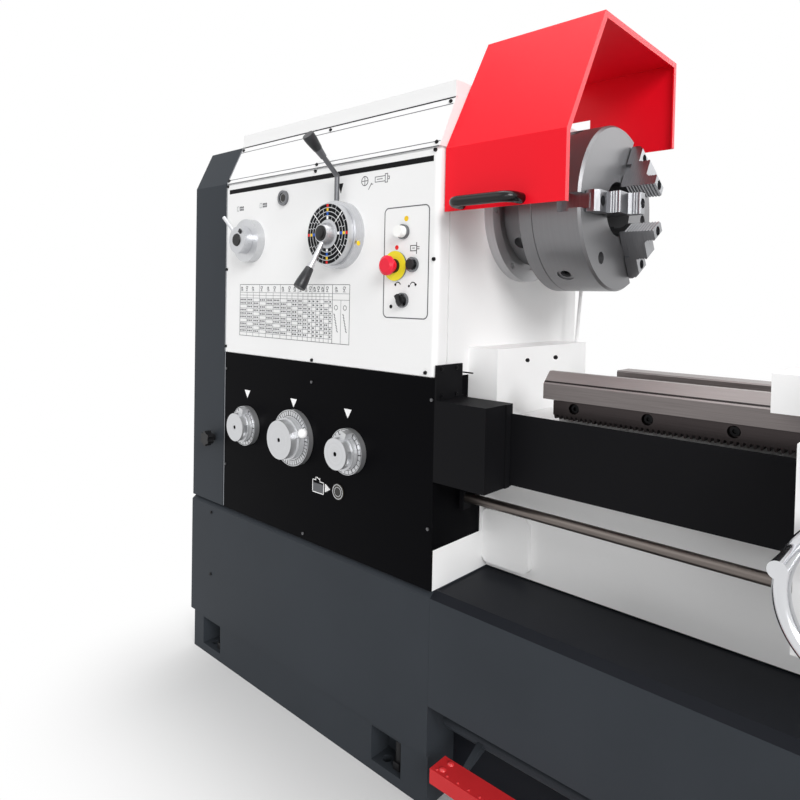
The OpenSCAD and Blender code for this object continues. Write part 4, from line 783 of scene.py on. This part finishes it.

# ------------------------ thread hub shade
# Black disc on the thread lever's hub, painted shade that stands in for the hole in its middle, with a
# small black block beside it, painted shade for the pointer slot.

hub_y = front_y - 0.0463
hub_disc = bmesh.new()
# Painted shade: this black disc stands in for the hole in the middle of the hub.
front_disc(hub_disc, (lever_x, hub_y - 0.0015, lever_z), 0.016, 0.003, front_r=0.0145)
# Painted shade: a small black block stands in for the pointer slot beside it.
a = math.radians(54)
x, z = around(lever_x, lever_z, 0.0255, a)
place = Matrix.Translation((x, hub_y - 0.001, z))
bar(hub_disc, place @ Matrix.Rotation(math.pi / 2 - a, 4, "Y"), (0.010, 0.003, 0.009))
put("thread_hub_shade", hub_disc, [plastic_black_and_shade], "thread_lever")

# ------------------------ feed selector knobs
# Three stepped knobs turned from steel, each with a finger lug. They sit on the
# feed gearbox's shafts, and fine rings from the tool run round their faces.

knob_z = 0.665
# Each selector's x, the height of its knob, and its ring's inner and outer radius in millimetres and ticks.
selectors = {
    "left": (-0.554, 0.026, 39.5, 48.0, 24),
    "middle": (-0.362, 0.034, 52.0, 63.5, 44),
    "right": (-0.173, 0.030, 39.5, 48.0, 24),
}
for side, (x, high, r0, r1, count) in selectors.items():
    knob_steel = turned_steel("turned_knob_" + side, (204, 205, 207), centre=(x, 0, knob_z), rough=0.4,
                              metal=0.75)
    finish_node("knob_" + side, knob_steel)

# ------------------------ ring ticks
# Engraved cells round each selector's ring: fine radial lines between two circles,
# with a stronger line at every fourth place.

ring_marks = bmesh.new()


def tick(x, r, a, wide, long):
    """A flat mark on a selector's ring, its length along the radius, which is in millimetres."""
    u, v = around(x, knob_z, r * 0.001, a)
    place = Matrix.Translation((u, front_y - 0.0141, v)) @ Matrix.Rotation(math.pi / 2 - a, 4, "Y")
    bar(ring_marks, place, (wide, 0.0002, long))


for x, high, r0, r1, count in selectors.values():
    for k in range(count):
        tick(x, 0.5 * (r0 + r1), math.tau * k / count, 0.0012 if k % 4 else 0.0020, (r1 - r0) * 0.001)
    for line in (r0, r1):
        for k in range(48):
            tick(x, line, math.tau * k / 48, line * 0.000135, 0.0010)
put("ring_ticks", ring_marks, [print_black], "base", smooth=False)

# ------------------------ knob holes
# Black discs on the faces of the knobs, painted shade that stands in for the holes where a sunk
# screw holds each knob on its shaft.

hole_shade = powder_paint("hole_shade", (8, 8, 9), rough=0.8, shine=0.05)
for side, (x, high, r0, r1, count) in selectors.items():
    hole = bmesh.new()
    # Painted shade: a black disc on each knob's face stands in for its hole.
    front_disc(hole, (x, front_y - 0.0131 - high, knob_z), 0.0049, 0.0004, sides=32)
    put("hole_" + side, hole, [hole_shade], "knob_" + side, smooth=False)

# ------------------------ selector ball
# White ball on the middle knob's lug, its pointer. It is moulded plastic, screwed
# on to the lug.

ball = bmesh.new()
bmesh.ops.create_uvsphere(ball, u_segments=32, v_segments=16, radius=0.0112,
                          matrix=Matrix.Translation(mm(-303.7, -321.8, 686.2)))
put("selector_ball", ball, [print_white], "knob_middle")

# ------------------------ bezels, lamp lens and operators
# Standard 22 mm operators in satin bezels: lamp, push button, selector and the
# mushroom emergency stop.

finish_node("bezels", turned_steel("bezel_metal", (124, 125, 128), centre=(-0.028, 0, 1.132), rough=0.22))
plastic_red = powder_paint("red_plastic", (232, 18, 52), rough=0.28, vary=0.01, bump=0.02, shine=0.4)
finish_node("estop_button", plastic_red)
finish_node("push_button", plastic_black_and_shade)
finish_node("selector", plastic_black_and_shade)
finish_node("lenses", powder_paint("lamp_white", (248, 248, 246), rough=0.25, vary=0.0, shine=0.4))
sight_dark = powder_paint("sight_oil", (52, 50, 42), rough=0.1, vary=0.2, shine=0.5)
# The node holds the lamp's lens and, far to its left, the glasses of the two oil sights.
second_finish("lenses", sight_dark, lambda face: face.center.x < -0.1)

# ------------------------ stop disc
# Yellow plastic disc under the emergency stop, punched from sheet and held by the
# collar of the stop. It carries no words.

yellow_plastic = powder_paint("yellow_plastic", (238, 228, 50), rough=0.4, vary=0.02, bump=0.02)
stop_x, stop_z = -0.048, 1.064
disc = bmesh.new()
front_disc(disc, (stop_x, front_y - 0.0044, stop_z), 0.0303, 0.0008, sides=64)
put("stop_disc", disc, [yellow_plastic], "base", smooth=False)

# ------------------------ stop collar
# Black plastic collar between the yellow disc and the mushroom, short enough to
# leave room for the press.

tube = bmesh.new()
front_disc(tube, (stop_x, front_y - 0.0079, stop_z), 0.0143, 0.0062, sides=32)
put("stop_collar", tube, [plastic_black_and_shade], "base")

# ------------------------ push cap
# Flat cap on the push button, moulded in black plastic. It is pressed on to the
# button and goes in with it.

push_cap = bmesh.new()
front_disc(push_cap, (-0.002, front_y - 0.0115, 1.066), 0.0105, 0.001, front_r=0.0098)
put("push_cap", push_cap, [plastic_black_and_shade], "push_button")

# ------------------------ sight glass
# Dark oil behind the round glass of the two oil sights: one is let into the white
# front and one into the black panel.

sight_deep = powder_paint("sight_deep", (24, 22, 18), rough=0.1, vary=0.2, shine=0.5)
sights = (Vector((-0.418, front_y - 0.0034, 1.234)), Vector((-0.208, front_y - 0.0024, 0.568)))
oil = bmesh.new()
for place in sights:
    front_disc(oil, place, 0.0085, 0.001)
put("sight_glass", oil, [sight_deep], "base")

# ------------------------ sight rings
# Two thin bright metal rings round each oil sight: the outer one is the edge of
# its frame, and the inner one holds the glass.

sight_rim = powder_paint("sight_rim", (190, 191, 194), rough=0.3, vary=0.02)
sight_rings = bmesh.new()
for place in sights:
    turn = Matrix.Translation(place + Vector((0, 0.0003, 0))) @ quarter_turn
    for r0, r1 in ((0.0150, 0.0165), (0.0096, 0.0107)):
        spun(sight_rings, [(r0, 0), (r1, 0), (r1, 0.0006), (r0, 0.0006)], 48, turn, ring=True)
put("sight_rings", sight_rings, [sight_rim], "base", smooth=False)

# ------------------------ bearing cover, spindle and chuck body
# Turned steel with fine rings round the spindle axis. The chuck is bolted to the
# spindle's nose, and the paler bearing cover to the headstock.

spindle_z = 1.186


def spindle_steel(name, rgb, metal):
    """Steel turned about the spindle axis."""
    return turned_steel(name, rgb, axis="X", centre=(0, 0, spindle_z), rough=0.36, pitch=700, bump=0.008,
                        vary=0.03, metal=metal)


chuck_steel = spindle_steel("chuck_ground", (126, 126, 128), 0.8)
for name in ("spindle", "chuck_body"):
    finish_node(name, chuck_steel)
finish_node("bearing_cover", spindle_steel("cover_turned", (190, 190, 192), 0.5))

# ------------------------ chuck key sockets
# Blackened pinion ends, each with a square hole for the key, sunk in the three
# sockets of the chuck's rim.

chuck_low, chuck_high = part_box("chuck_body")
reach = 0.5 * (chuck_high.z - chuck_low.z) - 0.0075
pinion_r, pinion_long = 0.0102, 0.010
key_half, key_deep = 0.0052, 0.006
pinions = bmesh.new()
for k in range(3):
    a = math.radians(145 + 120 * k)
    out = Vector((0, -math.sin(a), math.cos(a)))
    end = facing(Vector((chuck_low.x + 0.069, 0, spindle_z)) + out * reach, out)
    edges = []
    # The round rim and the square of the key, which the end face joins.
    for sides, r, turn in ((40, pinion_r, 0), (4, key_half * math.sqrt(2), 45)):
        corners = bmesh.ops.create_circle(pinions, segments=sides, radius=r,
                                          matrix=end @ Matrix.Rotation(math.radians(turn), 4, "Z"))["verts"]
        edges.append(list(dict.fromkeys(e for v in corners for e in v.link_edges)))
    bmesh.ops.triangle_fill(pinions, use_beauty=True, edges=edges[0] + edges[1], normal=out)
    for loop, deep in zip(edges, (pinion_long, key_deep)):
        walls = bmesh.ops.extrude_edge_only(pinions, edges=loop)["geom"]
        lower = [v for v in walls if isinstance(v, bmesh.types.BMVert)]
        bmesh.ops.translate(pinions, vec=-out * deep, verts=lower)
bmesh.ops.holes_fill(pinions, edges=[e for e in pinions.edges if e.is_boundary])
put("key_sockets", pinions, [plastic_black_and_shade], "spindle", smooth=False)

# ------------------------ jaws
# Three jaws in the guides of the chuck's face, in hardened steel, milled on their
# sides.

jaw_steel = worked_steel("jaw_hardened", (150, 151, 154), rough=0.3, along=(30, 1, 1), scale=30)
for name in ("jaw_1", "jaw_2", "jaw_3"):
    finish_node(name, jaw_steel)

# ------------------------ chuck guard and its handle
# Red enamelled sheet hood, which swings on a bar above the chuck and has a gloss-black bow handle.
# Its faces that look to the right get a paler red, a painted highlight for the light from that side.

guard_red = powder_paint("red_enamel", (240, 14, 36), rough=0.4, vary=0.015, bump=0.05, shine=0.2)
finish_node("chuck_guard", guard_red)
guard_right_highlight = powder_paint("red_painted_highlight", (250, 74, 82), rough=0.4, vary=0.015, bump=0.05, shine=0.2)
# Painted highlight: faces turned to +X take the paler red, for the light from the right.
second_finish("chuck_guard", guard_right_highlight, lambda face: face.normal.x > 0.95)
finish_node("guard_handle", powder_paint("gloss_black", (8, 8, 9), rough=0.22, bump=0.01, shine=0.35))

# ------------------------ bed
# Cast bed sprayed white, with its ways ground above the paint line. The upward faces of the ways get a
# paler copy of the ground steel, painted light from above, and a dark line of painted shade runs along the
# foot of each vee.

way_steel = worked_steel("ground_ways", (118, 112, 111), rough=0.45)
cast_white = powder_paint("cast_white", (246, 246, 246), rough=0.45, vary=0.01, bump=0.05, grain=500,
                          shine=0.2)
finish_node("bed", cast_white)
# Painted light: a paler copy of the ground steel for the upward faces of the ways.
ways_lit_top = worked_steel("ways_lit_top", (150, 144, 143), rough=0.5, vary=0.08)
tree = ways_lit_top.node_tree
shade = tree.nodes["Principled BSDF"]
shade.inputs["Metallic"].default_value = 0.7
plain = shade.inputs["Base Color"].links[0].from_socket
place = tree.nodes.new("ShaderNodeTexCoord")
split = tree.nodes.new("ShaderNodeSeparateXYZ")
# Painted shade: a dark line along the foot of each vee, for the shade of a groove there.
foot = tree.nodes.new("ShaderNodeMath")
foot.operation = "COMPARE"
foot.inputs[1].default_value = 0.8500  # height of the vee's foot
foot.inputs[2].default_value = 0.0014  # half the width of the painted shade line
groove_shade = tree.nodes.new("ShaderNodeMix")
groove_shade.data_type = "RGBA"
groove_shade.inputs["B"].default_value = srgb(40, 36, 36)
tree.links.new(place.outputs["Object"], split.inputs[0])
tree.links.new(split.outputs["Z"], foot.inputs[0])
tree.links.new(foot.outputs[0], groove_shade.inputs["Factor"])
tree.links.new(plain, groove_shade.inputs["A"])
tree.links.new(groove_shade.outputs["Result"], shade.inputs["Base Color"])
paint_top = 0.8165
second_finish("bed", way_steel, lambda face: face.center.z > paint_top)
second_finish("bed", ways_lit_top, lambda face: face.center.z > paint_top and face.normal.z > 0.6)

# ------------------------ gap block
# Cast block on the headstock's face below the chuck, sprayed white like the bed,
# with two blackened socket screws in its front.

finish_node("gap_block", cast_white)
screws = bmesh.new()
for x, z in ((198.3, 886), (257, 896)):
    cap_screw(screws, mm(x, -188, z), *small_head)
put("block_screws", screws, [black_steel], "base")

# ------------------------ rack
# Toothed rack under the front way, in bare milled steel, dark with oil and screwed
# to the bed.

rack_steel = worked_steel("rack_steel", (74, 68, 68), rough=0.4)
finish_node("rack", rack_steel)

# ------------------------ rack screws
# Blackened socket screws sunk in the rack's counterbores, at even steps along the
# whole rack.

rack_low, rack_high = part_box("rack")
screw_step = 0.136
screws = bmesh.new()
for k in range(int((rack_high.x - rack_low.x - 0.06) / screw_step) + 1):
    place = Vector((rack_low.x + 0.042 + screw_step * k, rack_low.y + 0.014, rack_high.z - 0.012))
    cap_screw(screws, place, 0.0165, 0.009, socket=0.55)
put("rack_screws", screws, [black_steel], "base")

# ------------------------ leadscrew, feed rod and control rod
# Three shafts along the front of the bed, carried in brackets at both ends: bare
# turned steel, brown-grey from oil.

rod_steel = worked_steel("rod_steel", (112, 105, 101), rough=0.34, along=(1, 20, 20))
for name in ("leadscrew", "feed_rod", "control_rod"):
    finish_node(name, rod_steel)

# ------------------------ leadscrew cover box
# Black box at the head end, where the cover of the leadscrew comes off its roll:
# folded from sheet, powder coated and screwed on.

cover_black = powder_paint("cover_black", (20, 20, 22), rough=0.5, bump=0.08, shine=0.05)
finish_node("cover_box", cover_black)

# ------------------------ curtain
# The black sheet over the leadscrew, drawn out between the box and the apron as
# the carriage moves.

sheet_low, sheet_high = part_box("curtain")
bays = 80
sheet = bmesh.new()
bar(sheet, Matrix.Translation((sheet_low + sheet_high) / 2), sheet_high - sheet_low)
for k in range(1, bays):
    x = sheet_low.x + (sheet_high.x - sheet_low.x) * k / bays
    bmesh.ops.bisect_plane(sheet, geom=sheet.verts[:] + sheet.edges[:] + sheet.faces[:], plane_co=(x, 0, 0),
                           plane_no=(1, 0, 0))
finish_node("curtain", cover_black)
curtain = make_piece("curtain_sheet", sheet, [cover_black], smooth=False)
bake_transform(curtain)
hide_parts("curtain")

# ------------------------ cover plate screws
# Four blackened socket screws at the corners of the plate at the cover box, which
# carries the control rod.

screws = bmesh.new()
for y, z in ((-280, 863), (-232, 863), (-280, 811), (-232, 811)):
    cap_screw(screws, mm(63, y, z), *small_head, direction=(1, 0, 0))
put("plate_screws", screws, [black_steel], "base")

# ------------------------ carriage and tailstock
# Castings sprayed white, with ground slides, a zinc-grey toolpost and quill, and
# satin handwheels and levers.

for name in ("saddle", "apron", "tailstock"):
    finish_node(name, cast_white)
for name in ("cross_slide", "compound_base", "top_slide"):
    finish_node(name, way_steel)
for name in ("toolpost", "quill"):
    finish_node(name, turned_steel("bright_" + name, (150, 150, 152), rough=0.3))
chrome = worked_steel("satin_chrome", (214, 215, 218), rough=0.16, along=(1, 1, 1), bump=0.01, vary=0.03)
for name in ("toolpost_lever", "apron_wheel", "cross_crank", "half_nut_lever", "start_lever", "tail_wheel"):
    finish_node(name, chrome)

# ------------------------ drive
# Pulleys, rubber belts and cut change gears inside the end cover, in bare steel,
# and the motor in the stand, which is painted with it.

gear_steel = worked_steel("gear_steel", (128, 126, 124), rough=0.36)
for name in ("drive_pulley", "motor_pulley", "gear_driver", "gear_driven"):
    finish_node(name, gear_steel)
finish_node("v_belts", powder_paint("belt_rubber", (20, 20, 20), rough=0.75, shine=0.1))
finish_node("motor", anthracite)

# ------------------------ foot brake
# Long steel tread on arms that turn about a rod in the stand. The tread is sprayed
# red, and the arms are in the stand's anthracite.

brake_red = powder_paint("brake_red", (196, 40, 44), rough=0.42, vary=0.1, grain=300, bump=0.3, shine=0.25)
finish_node("foot_brake", brake_red)
brake = node["foot_brake"].data
tread_top, arm_front = 0.1301, -0.2965
tread_corners = [v.co for v in brake.vertices if v.co.z < tread_top and v.co.y < arm_front]
tread_low = Vector([min(v[i] for v in tread_corners) for i in range(3)])
tread_high = Vector([max(v[i] for v in tread_corners) for i in range(3)])
second_finish("foot_brake", anthracite,
              lambda face: max(brake.vertices[i].co.y for i in face.vertices) > tread_high.y + 0.0005)

# ------------------------ tread studs
# Painted studs along the tread's front edge and two round-headed bolts at its left
# end.

stud_step = 0.024
studs = bmesh.new()


def stud(x, y, lift, radius, flat, sides):
    """A flattened round head on the tread, with its place measured from the tread's corner."""
    place = Matrix.Translation((tread_low.x + x, tread_low.y + y, tread_high.z + lift))
    bmesh.ops.create_uvsphere(studs, u_segments=sides, v_segments=6 if sides < 16 else 8, radius=radius,
                              matrix=place @ Matrix.Diagonal((1, 1, flat, 1)))


for k in range(int((tread_high.x - tread_low.x - 0.02) / stud_step)):
    stud(0.012 + stud_step * k, 0.007, 0.0002, 0.0030, 0.5, 8)
for x, y in ((0.020, 0.014), (0.022, 0.036)):
    stud(x, y, 0.0, 0.0070, 0.6, 16)
stud_red = powder_paint("stud_red", (214, 52, 56), rough=0.25, vary=0.02, shine=0.6)
put("tread_studs", studs, [stud_red], "foot_brake")
